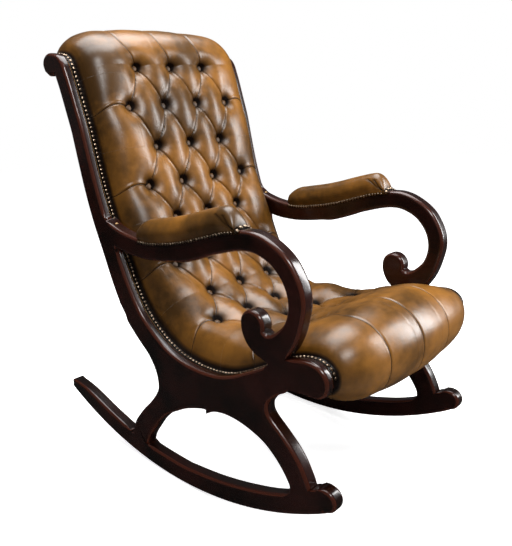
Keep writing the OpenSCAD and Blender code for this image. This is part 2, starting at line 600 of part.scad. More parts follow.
// Covered buttons, each on the twine that draws it into the filling
button_x_share = [[-1, 0, 1], [-1.5, -0.5, 0.5, 1.5]];
twine_dia = button_dia / 6;
twine_len = tuft_depth * 0.3;
module button() {
  cylinder(h = twine_len + button_h / 4, d = twine_dia);
  translate([0, 0, twine_len]) {
    cylinder(h = 0.4 * button_h, d1 = 0.85 * button_dia, d2 = button_dia);
    translate([0, 0, 0.4 * button_h]) cylinder(h = 0.6 * button_h, d1 = button_dia, d2 = 0.5 * button_dia);
  }
}
module buttons(rows) {
  color(leather) for (v = rows, k = button_x_share[(v + 1) % 2]) {
    s = lookup(v, cover_row_shares);
    p = off_show(s, lookup(v, cover_heights) - tuft_depth);
    w = normal_show(s);
    translate([k * button_pitch, p[0], p[1]]) rotate([-atan2(w[0], w[1]), 0, 0]) button();
  }
}

// Arm pads: a domed pad along the top of the arm, with the leather lapped down both faces of the wood
pad_ends_share = [0.598, 0.252];
pad_stations = [0, 0.012, 0.035, 0.07, 0.12, 0.19, 0.27, 0.36, 0.45, 0.54, 0.63, 0.72, 0.81, 0.88,
  0.93, 0.965, 0.985, 1];
pad_section_shares = [[-0.80, 0], [-0.95, 0.12], [-1, 0.35], [-0.93, 0.62], [-0.72, 0.85],
  [-0.38, 0.97], [0, 1], [0.38, 0.97], [0.72, 0.85], [0.93, 0.62], [1, 0.35], [0.95, 0.12], [0.80, 0]];
pad_caps = [[for (j = [0:len(pad_section_shares) - 1]) j]];
pad_lap_t = 1.4;
arm_curve = smooth(concat(all_at(arm_top_shares), [at(scroll_outer_shares[1])]), curve_steps);
function on_arm(y_share) = let (y = at([y_share, 0])[0]) [y, lookup(y, [for (p = arm_curve) p])];
function arm_normal(y_share) = let (e = 0.006, w = unit(on_arm(y_share - e) - on_arm(y_share + e))) [w[1], -w[0]];
function pad_rise(t) = min(pow(clip(t / 0.11), 0.45), pow(clip((1 - t) / 0.05), 0.4), 1);
function pad_ring(t, wide, high) = let (y = mix(pad_ends_share[0], pad_ends_share[1], t),
  r = max(pad_rise(t), 0.15), p = on_arm(y), n = arm_normal(y))
  [for (q = pad_section_shares) let (h = q[1] * high * r + pad_lap_t / 7)
    [half_w - side_t / 2 + q[0] * wide / 2 * mix(0.82, 1, r), p[0] + h * n[0], p[1] + h * n[1]]];
pad_top = pad_h - pad_lap;
function pad_y(from, to, n) = [for (i = [0:n]) mix(from, to, i / n)];
module pad_lap_strip(x) {
  y_shares = pad_y(pad_ends_share[0], pad_ends_share[1], 24);
  board(concat([for (y = y_shares) on_arm(y) + pad_lap_t * arm_normal(y)],
    [for (y = reversed(y_shares)) on_arm(y) - (pad_lap + nail_dia / 2) * arm_normal(y)]), x, pad_lap_t);
}
// Front flap of the leather, nailed across the top of the arm
flap_end_share = pad_ends_share[1] - (nail_dia + pad_lap_t) / frame_d;
module pad_flap() {
  y_shares = pad_y(pad_ends_share[1] + 0.004, flap_end_share, 4);
  board(concat([for (y = y_shares) on_arm(y) + pad_lap_t * arm_normal(y)],
    [for (y = reversed(y_shares)) on_arm(y)]), half_w, side_t);
}
module arm_pad_filling(side) {
  stations = [for (i = [0:8]) mix(0.09, 0.93, i / 8)];
  color(horsehair) on_side(side) skin([for (t = stations) pad_ring(t, 0.72 * pad_w, 0.72 * pad_top)], pad_caps);
}
module arm_pad(side) {
  stations = [for (i = [0:8]) mix(0.085, 0.935, i / 8)];
  color(leather) on_side(side) {
    difference() {
      skin([for (t = pad_stations) pad_ring(t, pad_w, pad_top)], pad_caps);
      translate([0, 0, -pad_lap_t / 7])
        skin([for (t = stations) pad_ring(t, 0.75 * pad_w, 0.75 * pad_top)], pad_caps);
    }
    pad_lap_strip(half_w + pad_lap_t);
    pad_lap_strip(half_w - side_t);
    pad_flap();
  }
}

// Brass nails with domed heads, standing on a point of the left half and facing a direction in its plane
module nail() {
  cylinder(h = 0.55 * nail_h, d1 = nail_dia, d2 = 0.86 * nail_dia);
  translate([0, 0, 0.55 * nail_h]) cylinder(h = 0.45 * nail_h, d1 = 0.86 * nail_dia, d2 = 0.4 * nail_dia);
}
nail_rows = [-1.5, 13.2];
nail_x = (show_in + border_x) / 2;
// The leather's top along the border, that the nails stand on
edge_rows = concat(back_stations, [for (v = seat_stations) if (v > split_row) v]);
edge_path = [for (v = edge_rows) off_show(lookup(v, cover_row_shares), cover_low(v) + leather_t)];
edge_marks = lengths(edge_path);
edge_y = [for (i = [0:len(edge_path) - 1]) [edge_marks[i], edge_path[i][0]]];
edge_z = [for (i = [0:len(edge_path) - 1]) [edge_marks[i], edge_path[i][1]]];
function on_edge(l) = [lookup(l, edge_y), lookup(l, edge_z)];
function edge_normal(l) = let (e = nail_dia / 2, w = unit(on_edge(l + e) - on_edge(l - e))) [w[1], -w[0]];
edge_at = [for (i = [0:len(edge_rows) - 1]) [edge_rows[i], edge_marks[i]]];
nail_from = lookup(nail_rows[0], edge_at);
nail_count = floor((lookup(nail_rows[1], edge_at) - nail_from) / nail_pitch);
module frame_nails(side) {
  color(brass) on_side(side) for (i = [0:nail_count]) {
    l = nail_from + i * nail_pitch;
    w = edge_normal(l);
    p = on_edge(l) + nail_h / 11 * w;
    translate([nail_x, p[0], p[1]]) rotate([-atan2(w[0], w[1]), 0, 0]) nail();
  }
}
pad_path = pad_y(pad_ends_share[0], pad_ends_share[1], 40);
pad_marks = lengths([for (y = pad_path) on_arm(y)]);
pad_len = pad_marks[40];
pad_nail_count = floor((pad_len - nail_dia) / pad_nail_pitch);
function pad_share(l) = lookup(l, [for (i = [0:40]) [pad_marks[i], pad_path[i]]]);
module arm_pad_nails(side) {
  color(brass) on_side(side) {
    for (i = [0:pad_nail_count]) {
      y = pad_share(nail_dia / 2 + i * pad_nail_pitch);
      p = on_arm(y) - pad_lap * arm_normal(y);
      translate([half_w + pad_lap_t, p[0], p[1]]) rotate([0, 90, 0]) nail();
      translate([half_w - side_t - pad_lap_t, p[0], p[1]]) rotate([0, -90, 0]) nail();
    }
    flap = mix(pad_ends_share[1], flap_end_share, 0.55);
    p = on_arm(flap) + pad_lap_t * arm_normal(flap);
    w = arm_normal(flap);
    for (k = [-1.5, -0.5, 0.5, 1.5])
      translate([half_w - side_t / 2 + k * pad_nail_pitch, p[0], p[1]]) rotate([-atan2(w[0], w[1]), 0, 0]) nail();
  }
}

// Plywood and leather over the outside of the back, nailed to the backs of the cross rails
outside_t = 2.2;
board_low = -rebate_d - cross_d - board_t;
outside_low = board_low - outside_t;
outside_from_share = 0.117;
outside_to_share = rear_seat_share + half_cross_share;
outside_half = rail_in - outside_t / 4;
module back_board() {
  color(birch) across(band(soft_shares(outside_from_share, outside_to_share), board_low, board_low + board_t),
    outside_half);
}
module outside_back() {
  color(leather) across(band(soft_shares(outside_from_share, outside_to_share), outside_low,
    board_low), outside_half);
}
outside_nail_pitch = 3 * nail_pitch;
outside_nail_shares = [outside_from_share + 0.006, lumbar_share, outside_to_share - 0.006];
module outside_back_nails() {
  columns_out = floor(rail_in / outside_nail_pitch - 0.4);
  color(brass) for (s = outside_nail_shares, i = [-columns_out:columns_out]) {
    p = off_show(s, outside_low);
    w = normal_show(s);
    translate([i * outside_nail_pitch, p[0], p[1]]) rotate([180 - atan2(w[0], w[1]), 0, 0]) nail();
  }
}

// Dust cover under the seat, tacked to the undersides of the seat rails beside the legs
dust_t = 1.2;
dust_half = half_w - side_t - dust_t / 3;
dust_ends_share = [0.600, 0.165];
tack_dia = 5;
tack_h = 1.2;
tack_x = (rail_in + dust_half) / 2;
tack_count = 14;
module dust_cover() {
  path = [for (p = rail_under) if (p[0] < at([dust_ends_share[0], 0])[0] && p[0] > at([dust_ends_share[1], 0])[0]) p];
  color(cambric) across(concat(path, reversed([for (p = path) p - [0, dust_t]])), dust_half);
}
module dust_cover_tacks() {
  color(steel) for (k = [-1, 1], i = [0:tack_count]) {
    y_share = mix(dust_ends_share[0] - 0.02, dust_ends_share[1] + 0.02, i / tack_count);
    p = under_rail(y_share);
    translate([k * tack_x, p[0], p[1] - dust_t - tack_h]) cylinder(h = tack_h, d1 = tack_dia / 2, d2 = tack_dia);
  }
}

back_strap_shares = [0.055, 0.135, 0.185, 0.235, 0.285, 0.335, 0.385, 0.435];
seat_strap_shares = [0.490, 0.535, 0.585, 0.635, 0.685, 0.735, 0.785, 0.845];

leaning() stile("left");  // stile_left
leaning() stile("right");  // stile_right
leaning() seat_rail("left");  // seat_rail_left
leaning() seat_rail("right");  // seat_rail_right
leaning() arm_rail("left");  // arm_rail_left
leaning() arm_rail("right");  // arm_rail_right
leaning() arm_scroll("left");  // arm_scroll_left
leaning() arm_scroll("right");  // arm_scroll_right
leaning() leg("left", rear_leg_outline);  // rear_leg_left
leaning() leg("right", rear_leg_outline);  // rear_leg_right
leaning() leg("left", front_leg_outline);  // front_leg_left
leaning() leg("right", front_leg_outline);  // front_leg_right
leaning() runner("left");  // runner_left
leaning() runner("right");  // runner_right
leaning() color(birch) on_side("left") frame_dowels(0);  // frame_dowels_left
leaning() color(birch) on_side("right") frame_dowels(0);  // frame_dowels_right
leaning() crest_rail();
leaning() cross_rail(lumbar_share);  // lumbar_rail
leaning() cross_rail(rear_seat_share);  // rear_seat_rail
leaning() front_seat_rail();
leaning() color(birch) cross_dowels(0);  // cross_rail_dowels
leaning() corner_blocks();
leaning() color(steel) block_screws(0);  // corner_block_screws
leaning() straps(back_strap_shares);  // back_webbing
leaning() straps(seat_strap_shares);  // seat_webbing
leaning() hessian();
leaning() filling(back_stations, -1.4, split_row);  // back_filling
leaning() filling(seat_stations, split_row, 13.4);  // seat_filling
leaning() cover(back_stations);  // back_cover
leaning() cover(seat_stations);  // seat_cover
leaning() buttons([1:6]);  // back_buttons
leaning() buttons([7:11]);  // seat_buttons
leaning() arm_pad_filling("left");  // arm_pad_filling_left
leaning() arm_pad_filling("right");  // arm_pad_filling_right
leaning() arm_pad("left");  // arm_pad_left
leaning() arm_pad("right");  // arm_pad_right
leaning() frame_nails("left");  // frame_nails_left
leaning() frame_nails("right");  // frame_nails_right
leaning() arm_pad_nails("left");  // arm_pad_nails_left
leaning() arm_pad_nails("right");  // arm_pad_nails_right
leaning() back_board();
leaning() outside_back();
leaning() outside_back_nails();
leaning() dust_cover();
leaning() dust_cover_tacks();
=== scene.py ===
import json
import math

import bmesh
import bpy
import numpy as np
from mathutils import Matrix, Vector
from mathutils.bvhtree import BVHTree
from mathutils.kdtree import KDTree


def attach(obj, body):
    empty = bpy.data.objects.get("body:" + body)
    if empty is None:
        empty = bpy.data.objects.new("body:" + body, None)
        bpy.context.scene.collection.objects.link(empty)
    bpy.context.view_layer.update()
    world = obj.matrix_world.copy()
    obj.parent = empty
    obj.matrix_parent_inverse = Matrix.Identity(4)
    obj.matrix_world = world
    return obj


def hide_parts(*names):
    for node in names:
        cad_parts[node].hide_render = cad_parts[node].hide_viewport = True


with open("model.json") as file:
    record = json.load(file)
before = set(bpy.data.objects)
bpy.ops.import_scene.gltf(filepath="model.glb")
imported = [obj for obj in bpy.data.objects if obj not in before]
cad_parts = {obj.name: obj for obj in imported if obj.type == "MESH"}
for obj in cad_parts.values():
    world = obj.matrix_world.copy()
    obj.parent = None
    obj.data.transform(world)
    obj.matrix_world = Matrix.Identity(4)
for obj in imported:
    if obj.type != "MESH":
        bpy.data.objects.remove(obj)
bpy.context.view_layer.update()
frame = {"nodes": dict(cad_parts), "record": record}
nodes = frame["nodes"]


# Camera and floor.  The chair was photographed from above its right arm, from about a metre and a half away.
# It leans 2.6 degrees forward on its runners about the centre of their rocking edge, and the camera with it.
scene = bpy.context.scene
scene.view_settings.view_transform = "Standard"
LEAN = math.radians(2.6)
ROCK_Y, ROCK_R = 0.0381, 0.920
rock_centre = Vector((0, ROCK_Y, ROCK_R))
tilt = Matrix.Rotation(LEAN, 4, "X")
CAMERA_PLACE, CAMERA_PITCH, CAMERA_TURN = (-1.0619, -1.0034, 0.9598), math.radians(67.32), math.radians(-47.43)
bpy.ops.object.select_all(action="DESELECT")
bpy.ops.object.camera_add(location=(0, 0, 0), rotation=(CAMERA_PITCH, 0, CAMERA_TURN))
camera = bpy.context.object
level = Matrix.Translation(CAMERA_PLACE) @ camera.rotation_euler.to_matrix().to_4x4()
camera.matrix_world = Matrix.Translation(rock_centre) @ tilt @ Matrix.Translation(-rock_centre) @ level
camera.data.sensor_width = 36
camera.data.lens = 39.6
camera.data.shift_y = 0.0854
scene.camera = camera


def linear(hex_colour):
    parts = [int(hex_colour[i:i + 2], 16) / 255 for i in (1, 3, 5)]
    return [p / 12.92 if p <= 0.04045 else ((p + 0.055) / 1.055) ** 2.4 for p in parts] + [1]


def add_node(tree, kind, settings=None, inputs=None, links=None):
    made = tree.nodes.new(kind)
    for name, value in (settings or {}).items():
        setattr(made, name, value)
    for name, value in (inputs or {}).items():
        made.inputs[name].default_value = value
    for name, source in (links or {}).items():
        tree.links.new(source, made.inputs[name])
    return made


def new_material(name):
    made = bpy.data.materials.new(name)
    made.use_nodes = True
    return made, made.node_tree, made.node_tree.nodes["Principled BSDF"]


bpy.ops.object.select_all(action="DESELECT")
bpy.ops.mesh.primitive_plane_add(size=14, location=(0, 0, -0.0005))
floor = bpy.context.object
floor.name = "studio_floor"
paint, tree, shine = new_material("white studio paper")
shine.inputs["Base Color"].default_value = linear("#ececec")
shine.inputs["Roughness"].default_value = 0.9
shine.inputs["Specular IOR Level"].default_value = 0.05
# matt paper that the camera sees burnt out to white, with only the shadow under the chair left on it, and that
# the polish of the chair mirrors as a grey floor
direct = add_node(tree, "ShaderNodeLightPath")
burnt = add_node(tree, "ShaderNodeEmission", inputs={"Color": linear("#ffffff"), "Strength": 0.80})
added = add_node(tree, "ShaderNodeAddShader", links={0: shine.outputs[0], 1: burnt.outputs[0]})
paper = add_node(tree, "ShaderNodeMixShader",
                 links={0: direct.outputs["Is Camera Ray"], 1: shine.outputs[0], 2: added.outputs[0]})
shaded = add_node(tree, "ShaderNodeBsdfDiffuse", inputs={"Color": linear("#343434")})
mirrored = add_node(tree, "ShaderNodeMixShader",
                    links={0: direct.outputs["Is Glossy Ray"], 1: paper.outputs[0], 2: shaded.outputs[0]})
tree.links.new(mirrored.outputs[0], tree.nodes["Material Output"].inputs["Surface"])
floor.data.materials.append(paint)
world = bpy.data.worlds.new("studio")
scene.world = world
world.use_nodes = True
sky = world.node_tree
rays = add_node(sky, "ShaderNodeLightPath")
# white behind the chair, even light all round, and a darker room in the polish
ALL_ROUND, IN_POLISH, TO_CAMERA = 0.24, 0.08, 1.0
dim = add_node(sky, "ShaderNodeMix", {"data_type": "FLOAT"}, links={"Factor": rays.outputs["Is Glossy Ray"]})
dim.inputs[2].default_value = ALL_ROUND
dim.inputs[3].default_value = IN_POLISH
seen = add_node(sky, "ShaderNodeMix", {"data_type": "FLOAT"}, links={"Factor": rays.outputs["Is Camera Ray"]})
sky.links.new(dim.outputs[0], seen.inputs[2])
seen.inputs[3].default_value = TO_CAMERA
sky.nodes["Background"].inputs["Color"].default_value = linear("#ffffff")
sky.links.new(seen.outputs[0], sky.nodes["Background"].inputs["Strength"])
for name, place, aim, size, power in (
        ("key", (-0.9, -1.5, 2.3), (0, 0, 0.7), (0.6, 0.6), 32),
        ("side", (1.75, -1.65, 1.4), (0, 0, 0.6), (0.45, 1.7), 64),
        ("top", (0.1, 0.3, 2.6), (0, 0, 0.8), (2.2, 1.5), 90)):
    bpy.ops.object.light_add(type="AREA", location=place)
    lamp = bpy.context.object
    lamp.name = name + "_lamp"
    lamp.data.shape = "RECTANGLE"
    lamp.data.size, lamp.data.size_y = size
    lamp.data.energy = power
    lamp.rotation_euler = (Vector(place) - Vector(aim)).to_track_quat("Z", "Y").to_euler()


# Side frames.  Each is sawn from thick mahogany boards, doweled together and then rounded over by hand along
# every edge that stays free.  The joints are flush, so the edges that meet another board are left square.
# the third colour is the lighter red of the rounded edges, partly wear and partly a painted highlight
MAHOGANY_DARK, MAHOGANY_RED, MAHOGANY_WORN_GLINT = "#0b0402", "#260b06", "#431d10"
ROUND_OVER, LIP_ROUND, FIRST_CUT = 0.009, 0.0055, 0.0001
HALF_W, SHOW_W = 0.280, 0.022
WAIST_LOW, WAIST_HIGH, WAIST_DIP = Vector((0.1685, 0.4048)), Vector((0.1929, 0.4387)), 0.0009
# how near a point lies to be taken as part of a corner, and a board to be taken as touching
AT_CORNER, TOUCHING = 0.0006, 0.0009
# mahogany stained nearly black and french polished: a deep gloss with a red glow below it, and grain 4 to 6 mm
# apart and 24 mm long, drawn larger than life so that it shows
mahogany, tree, shine = new_material("french polished mahogany")
coords = add_node(tree, "ShaderNodeTexCoord")
grain_map = add_node(tree, "ShaderNodeMapping", inputs={"Scale": (90, 14, 60)},
                     links={"Vector": coords.outputs["Object"]})
grain = add_node(tree, "ShaderNodeTexNoise", inputs={"Scale": 3.0, "Detail": 6, "Roughness": 0.6},
                 links={"Vector": grain_map.outputs[0]})
cloudy = add_node(tree, "ShaderNodeTexNoise", inputs={"Scale": 9.0, "Detail": 2},
                  links={"Vector": coords.outputs["Object"]})
both = add_node(tree, "ShaderNodeMath", {"operation": "MULTIPLY_ADD"}, {1: 0.45}, {0: grain.outputs["Fac"]})
tree.links.new(cloudy.outputs["Fac"], both.inputs[2])
tones = add_node(tree, "ShaderNodeValToRGB", links={"Fac": both.outputs[0]})
tones.color_ramp.elements[0].position = 0.50
tones.color_ramp.elements[0].color = linear(MAHOGANY_DARK)
tones.color_ramp.elements[1].position = 0.95
tones.color_ramp.elements[1].color = linear(MAHOGANY_RED)
# the rounded edges are painted a lighter red: partly the polish worn thin where the red of the wood shows, partly
# a painted copper highlight where the light catches them
facing = add_node(tree, "ShaderNodeSeparateXYZ", links={0: coords.outputs["Normal"]})
sideways = add_node(tree, "ShaderNodeMath", {"operation": "ABSOLUTE"}, links={0: facing.outputs[0]})
arris = add_node(tree, "ShaderNodeValToRGB", links={"Fac": sideways.outputs[0]})
arris.color_ramp.elements[0].position, arris.color_ramp.elements[1].position = 0.12, 0.97
for place in (0.35, 0.85):
    arris.color_ramp.elements.new(place)
for stop, grey in zip(arris.color_ramp.elements, (0, 0.7, 0.7, 0)):
    stop.color = (grey, grey, grey, 1)
worn_and_glint = add_node(tree, "ShaderNodeMix", {"data_type": "RGBA"}, links={"Factor": arris.outputs["Color"]})
tree.links.new(tones.outputs["Color"], worn_and_glint.inputs[6])
worn_and_glint.inputs[7].default_value = linear(MAHOGANY_WORN_GLINT)
tree.links.new(worn_and_glint.outputs[2], shine.inputs["Base Color"])
shine.inputs["Roughness"].default_value = 0.27
shine.inputs["Coat Weight"].default_value = 0.35
shine.inputs["Coat Roughness"].default_value = 0.10
shine.inputs["Specular IOR Level"].default_value = 0.28
dents = add_node(tree, "ShaderNodeBump", inputs={"Strength": 0.06, "Distance": 0.001},
                 links={"Height": grain.outputs["Fac"]})
tree.links.new(dents.outputs[0], shine.inputs["Normal"])


def select_only(*pieces):
    bpy.ops.object.select_all(action="DESELECT")
    for piece in pieces:
        piece.select_set(True)
    bpy.context.view_layer.objects.active = pieces[0]


board_names = ["stile", "seat_rail", "arm_rail", "arm_scroll", "rear_leg", "front_leg", "runner"]
for side in ("left", "right"):
    boards = []
    for name in board_names:
        source = nodes[name + "_" + side]
        board = source.copy()
        board.data = source.data.copy()
        board.parent = None
        bpy.context.collection.objects.link(board)
        board.name = "rounded_" + name + "_" + side
        board.data.materials.clear()
        board.data.materials.append(mahogany)
        select_only(board)
        bpy.ops.object.mode_set(mode="EDIT")
        bpy.ops.mesh.select_all(action="SELECT")
        bpy.ops.mesh.remove_doubles(threshold=0.0004)
        bpy.ops.mesh.dissolve_limited(angle_limit=math.radians(0.5))
        bpy.ops.mesh.select_all(action="DESELECT")
        bpy.ops.object.mode_set(mode="OBJECT")
        shape = bmesh.new()
        shape.from_mesh(board.data)
        if name == "seat_rail":
            # planed fair with the stile and the leg across the waist
            waist = WAIST_HIGH - WAIST_LOW
            way = waist.normalized()
            for vert in shape.verts:
                step = Vector((vert.co.y, vert.co.z)) - WAIST_LOW
                share, proud = step.dot(way) / waist.length, step.x * way.y - step.y * way.x
                if 0.02 < share < 0.98 and -0.004 < proud < 0.001:
                    dip = Vector((way.y, -way.x)) * WAIST_DIP * math.sin(math.pi * share)
                    vert.co.y, vert.co.z = WAIST_LOW + way * step.dot(way) + dip
            shape.to_mesh(board.data)
        shape.normal_update()
        shape.edges.ensure_lookup_table()
        boards.append((name, board, shape, BVHTree.FromBMesh(shape)))
    # free edges are rounded, and the rounding runs out to nothing where one board tapers away along another
    run_outs, reaches = [], []
    for name, board, shape, own in boards:
        reach_of = {}
        others = [other for _, _, _, other in boards if other is not own]
        for edge in shape.edges:
            if len(edge.link_faces) != 2 or not edge.is_convex:
                continue
            one, two = (f.normal for f in edge.link_faces)
            if max(abs(one.x), abs(two.x)) < 0.99 or min(abs(one.x), abs(two.x)) > 0.05:
                continue
            wall = one if abs(one.x) < 0.5 else two
            middle = (edge.verts[0].co + edge.verts[1].co) / 2
            lip = name in ("stile", "seat_rail") and abs(middle.x) < HALF_W - 0.002
            # the lip of the rebate is rounded less, and its hidden edges stay square
            if lip and (abs(middle.x) < HALF_W - SHOW_W - 0.002 or (middle.y < -0.27 and middle.z < 0.405)):
                continue
            probe = middle + 0.0005 * wall
            if any(other.find_nearest(probe, TOUCHING)[0] is not None for other in others):
                reach_of[edge.index] = 0
                continue
            reach = LIP_ROUND if lip else ROUND_OVER
            if not lip:
                inner = -1 if abs(middle.x) > HALF_W - 0.01 else 1
                start = middle - 0.0003 * wall + Vector((inner * math.copysign(0.003, middle.x), 0, 0))
                thickness = own.ray_cast(start, -wall, 0.06)[3]
                reach = min(reach, 0.46 * (thickness or 1))
            reach_of[edge.index] = reach
        for vert in shape.verts:
            meeting = [e for e in vert.link_edges if e.index in reach_of]
            if len(meeting) != 2 or min(reach_of[e.index] for e in meeting) > 0:
                continue
            ways = [(e.other_vert(vert).co - vert.co).normalized() for e in meeting]
            if max(reach_of[e.index] for e in meeting) > 0 and ways[0].dot(ways[1]) < -0.6:
                run_outs.append(vert.co.copy())
        # the pointed ends of a board stay sharp as well
        for face in shape.faces:
            if abs(face.normal.x) > 0.99 and abs(abs(face.calc_center_median().x) - HALF_W) < 0.001:
                sharp = [c for c in face.loops if c.is_convex and c.calc_angle() < math.radians(62)]
                run_outs += [corner.vert.co.copy() for corner in sharp]
        reaches.append(reach_of)
    for (name, board, shape, own), reach_of in zip(boards, reaches):
        weights = np.zeros(len(shape.edges))
        corners, radius, pairs, number = [], [], [], {}
        for index, reach in reach_of.items():
            if reach == 0:
                continue
            weights[index] = 1
            edge = shape.edges[index]
            for vert in edge.verts:
                if vert.index not in number:
                    number[vert.index] = len(corners)
                    corners.append(vert.co.copy())
                    radius.append(ROUND_OVER)
                k = number[vert.index]
                ends = any((vert.co - end).length < 0.0002 for end in run_outs)
                radius[k] = 0 if ends else min(radius[k], reach)
            pairs.append([number[v.index] for v in edge.verts])
        shape.free()
        held = board.data.attributes.new("bevel_weight_edge", "FLOAT", "EDGE")
        held.data.foreach_set("value", weights.astype(np.float32))
        select_only(board)
        rounding = board.modifiers.new("rounded over by hand", "BEVEL")
        rounding.limit_method = "WEIGHT"
        rounding.offset_type = "OFFSET"
        rounding.width = FIRST_CUT
        rounding.segments = 5
        rounding.profile = 0.5
        rounding.use_clamp_overlap = False
        bpy.ops.object.modifier_apply(modifier=rounding.name)
        # the first cut along every free edge is widened to the full round, less where the wood is too thin for it
        tree_of_corners = KDTree(len(corners))
        for k, corner in enumerate(corners):
            tree_of_corners.insert(corner, k)
        tree_of_corners.balance()
        belongs = [tree_of_corners.find(v.co) for v in board.data.vertices]
        mitre = np.zeros((len(corners), 2))
        for vert, (corner, k, gap) in zip(board.data.vertices, belongs):
            step = vert.co - corner
            farther = math.hypot(step.y, step.z) > np.hypot(*mitre[k]) * FIRST_CUT
            if gap < AT_CORNER and abs(step.x) < 0.00002 and farther:
                mitre[k] = step.y / FIRST_CUT, step.z / FIRST_CUT
        radius = np.array(radius)
        first, second = np.array(pairs).T
        flat = np.array(corners)[:, 1:]
        along_edge = flat[second] - flat[first]
        length = np.linalg.norm(along_edge, axis=1)
        uses = np.bincount(np.r_[first, second], minlength=len(corners))
        shift = radius[:, None] * mitre
        for _ in range(60):
            moved = along_edge + shift[second] - shift[first]
            folded = (moved * along_edge).sum(axis=1) < 0.15 * length ** 2
            for i, j in zip(first[folded], second[folded]):
                for end, other in ((i, j), (j, i)):
                    # beside a square joint the round is gathered into the joint, elsewhere it is cut smaller
                    if uses[end] == 1 and radius[end] > 0 and np.hypot(*(flat[end] - flat[other])) < ROUND_OVER:
                        uses[other] = 1
                        shift[other] = flat[end] + shift[end] - flat[other]
                        break
                else:
                    radius[[i, j]] *= 0.86
                    shift[[i, j]] *= 0.86
            before = radius.copy()
            np.minimum.at(radius, second, radius[first] + 0.45 * length)
            np.minimum.at(radius, first, radius[second] + 0.45 * length)
            shift *= (radius / np.maximum(before, 1e-9))[:, None]
        for vert, (corner, k, gap) in zip(board.data.vertices, belongs):
            if gap < AT_CORNER:
                step = vert.co - corner
                part = math.hypot(step.y, step.z) / max(FIRST_CUT * np.hypot(*mitre[k]), 1e-9)
                vert.co = corner + Vector((step.x * radius[k] / FIRST_CUT, *(part * shift[k])))
        board.data.update()
        folds = bmesh.new()
        folds.from_mesh(board.data)
        bmesh.ops.remove_doubles(folds, verts=folds.verts, dist=0.00002)
        folds.to_mesh(board.data)
        folds.free()
        bpy.ops.object.shade_smooth_by_angle(angle=math.radians(32))
        weighted = board.modifiers.new("flat faces stay flat", "WEIGHTED_NORMAL")
        weighted.keep_sharp = True
        bpy.ops.object.modifier_apply(modifier=weighted.name)
        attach(board, "root")
        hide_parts(name + "_" + side)


# Buttoned leather.  One antiqued hide runs over the top roll, down the back, along the seat and round the front
# roll, drawn down by rows of three and four buttons, with pleats folded between them and nailed along both sides.
PITCH = 0.105
BORDER, EDGE, FIELD = 0.243, 0.2571, 1.5 * PITCH
TUFT, VALLEY, WELL_R, HEM = 0.030, 0.38, 0.0165, -0.0026
FIRST_ROW, LAST_ROW = 1, 11
PLEAT_REACH = 0.02
# the S of back and seat along the lip of the rebate, in shares of the frame's depth and height, from the top
line_shares = [
    (0.921, 0.959), (0.9275, 0.975), (0.920, 0.991), (0.903, 1), (0.880, 1), (0.856, 0.995), (0.839, 0.979),
    (0.828, 0.956), (0.818, 0.932), (0.803, 0.891), (0.785, 0.842), (0.769, 0.783), (0.747, 0.708), (0.723, 0.643),
    (0.693, 0.580), (0.650, 0.492), (0.599, 0.420), (0.523, 0.368), (0.452, 0.349), (0.374, 0.348), (0.305, 0.364),
    (0.2185, 0.410), (0.168, 0.4415), (0.126, 0.4617), (0.0925, 0.4698), (0.0693, 0.4698), (0.0504, 0.4627),
    (0.0378, 0.4496), (0.0336, 0.4335), (0.0378, 0.4153), (0.0515, 0.4022), (0.0714, 0.3972), (0.1000, 0.3966),
    (0.1313, 0.3962)]
FRAME_Y, FRAME_D, FRAME_H = -0.49024, 0.952, 0.992
knots = np.array([(FRAME_Y + y * FRAME_D, z * FRAME_H) for y, z in line_shares])


def curve_through(knots, steps):
    """Points on a smooth curve, from the second knot to the last but one."""
    points = []
    for a, b, c, d in zip(knots, knots[1:], knots[2:], knots[3:]):
        for t in np.arange(steps) / steps:
            bend, twist = 2 * a - 5 * b + 4 * c - d, 3 * b - a - 3 * c + d
            points.append(0.5 * (2 * b + (c - a) * t + bend * t * t + twist * t ** 3))
    return np.array(points)


path = np.vstack([curve_through(np.vstack([knots[:1], knots, knots[-1:]]), 12), knots[-1:]])
marks = np.r_[0, np.cumsum(np.hypot(*np.diff(path, axis=0).T))]
line_len = marks[-1]
fine = np.linspace(0, 1, 1441)
line = np.c_[np.interp(fine * line_len, marks, path[:, 0]), np.interp(fine * line_len, marks, path[:, 1])]
kernel = np.hanning(17)
kernel /= kernel.sum()
along = np.gradient(line, axis=0)
along = np.c_[np.convolve(np.pad(along[:, 0], 8, "edge"), kernel, "valid"),
              np.convolve(np.pad(along[:, 1], 8, "edge"), kernel, "valid")]
along /= np.linalg.norm(along, axis=1)[:, None]
out = np.c_[along[:, 1], -along[:, 0]]


def lean_over(y, z):
    dy, dz = y - ROCK_Y, z - ROCK_R
    return ROCK_Y + dy * math.cos(LEAN) - dz * math.sin(LEAN), ROCK_R + dy * math.sin(LEAN) + dz * math.cos(LEAN)


def on_line(share, height):
    y = np.interp(share, fine, line[:, 0]) + height * np.interp(share, fine, out[:, 0])
    z = np.interp(share, fine, line[:, 1]) + height * np.interp(share, fine, out[:, 1])
    return lean_over(y, z)


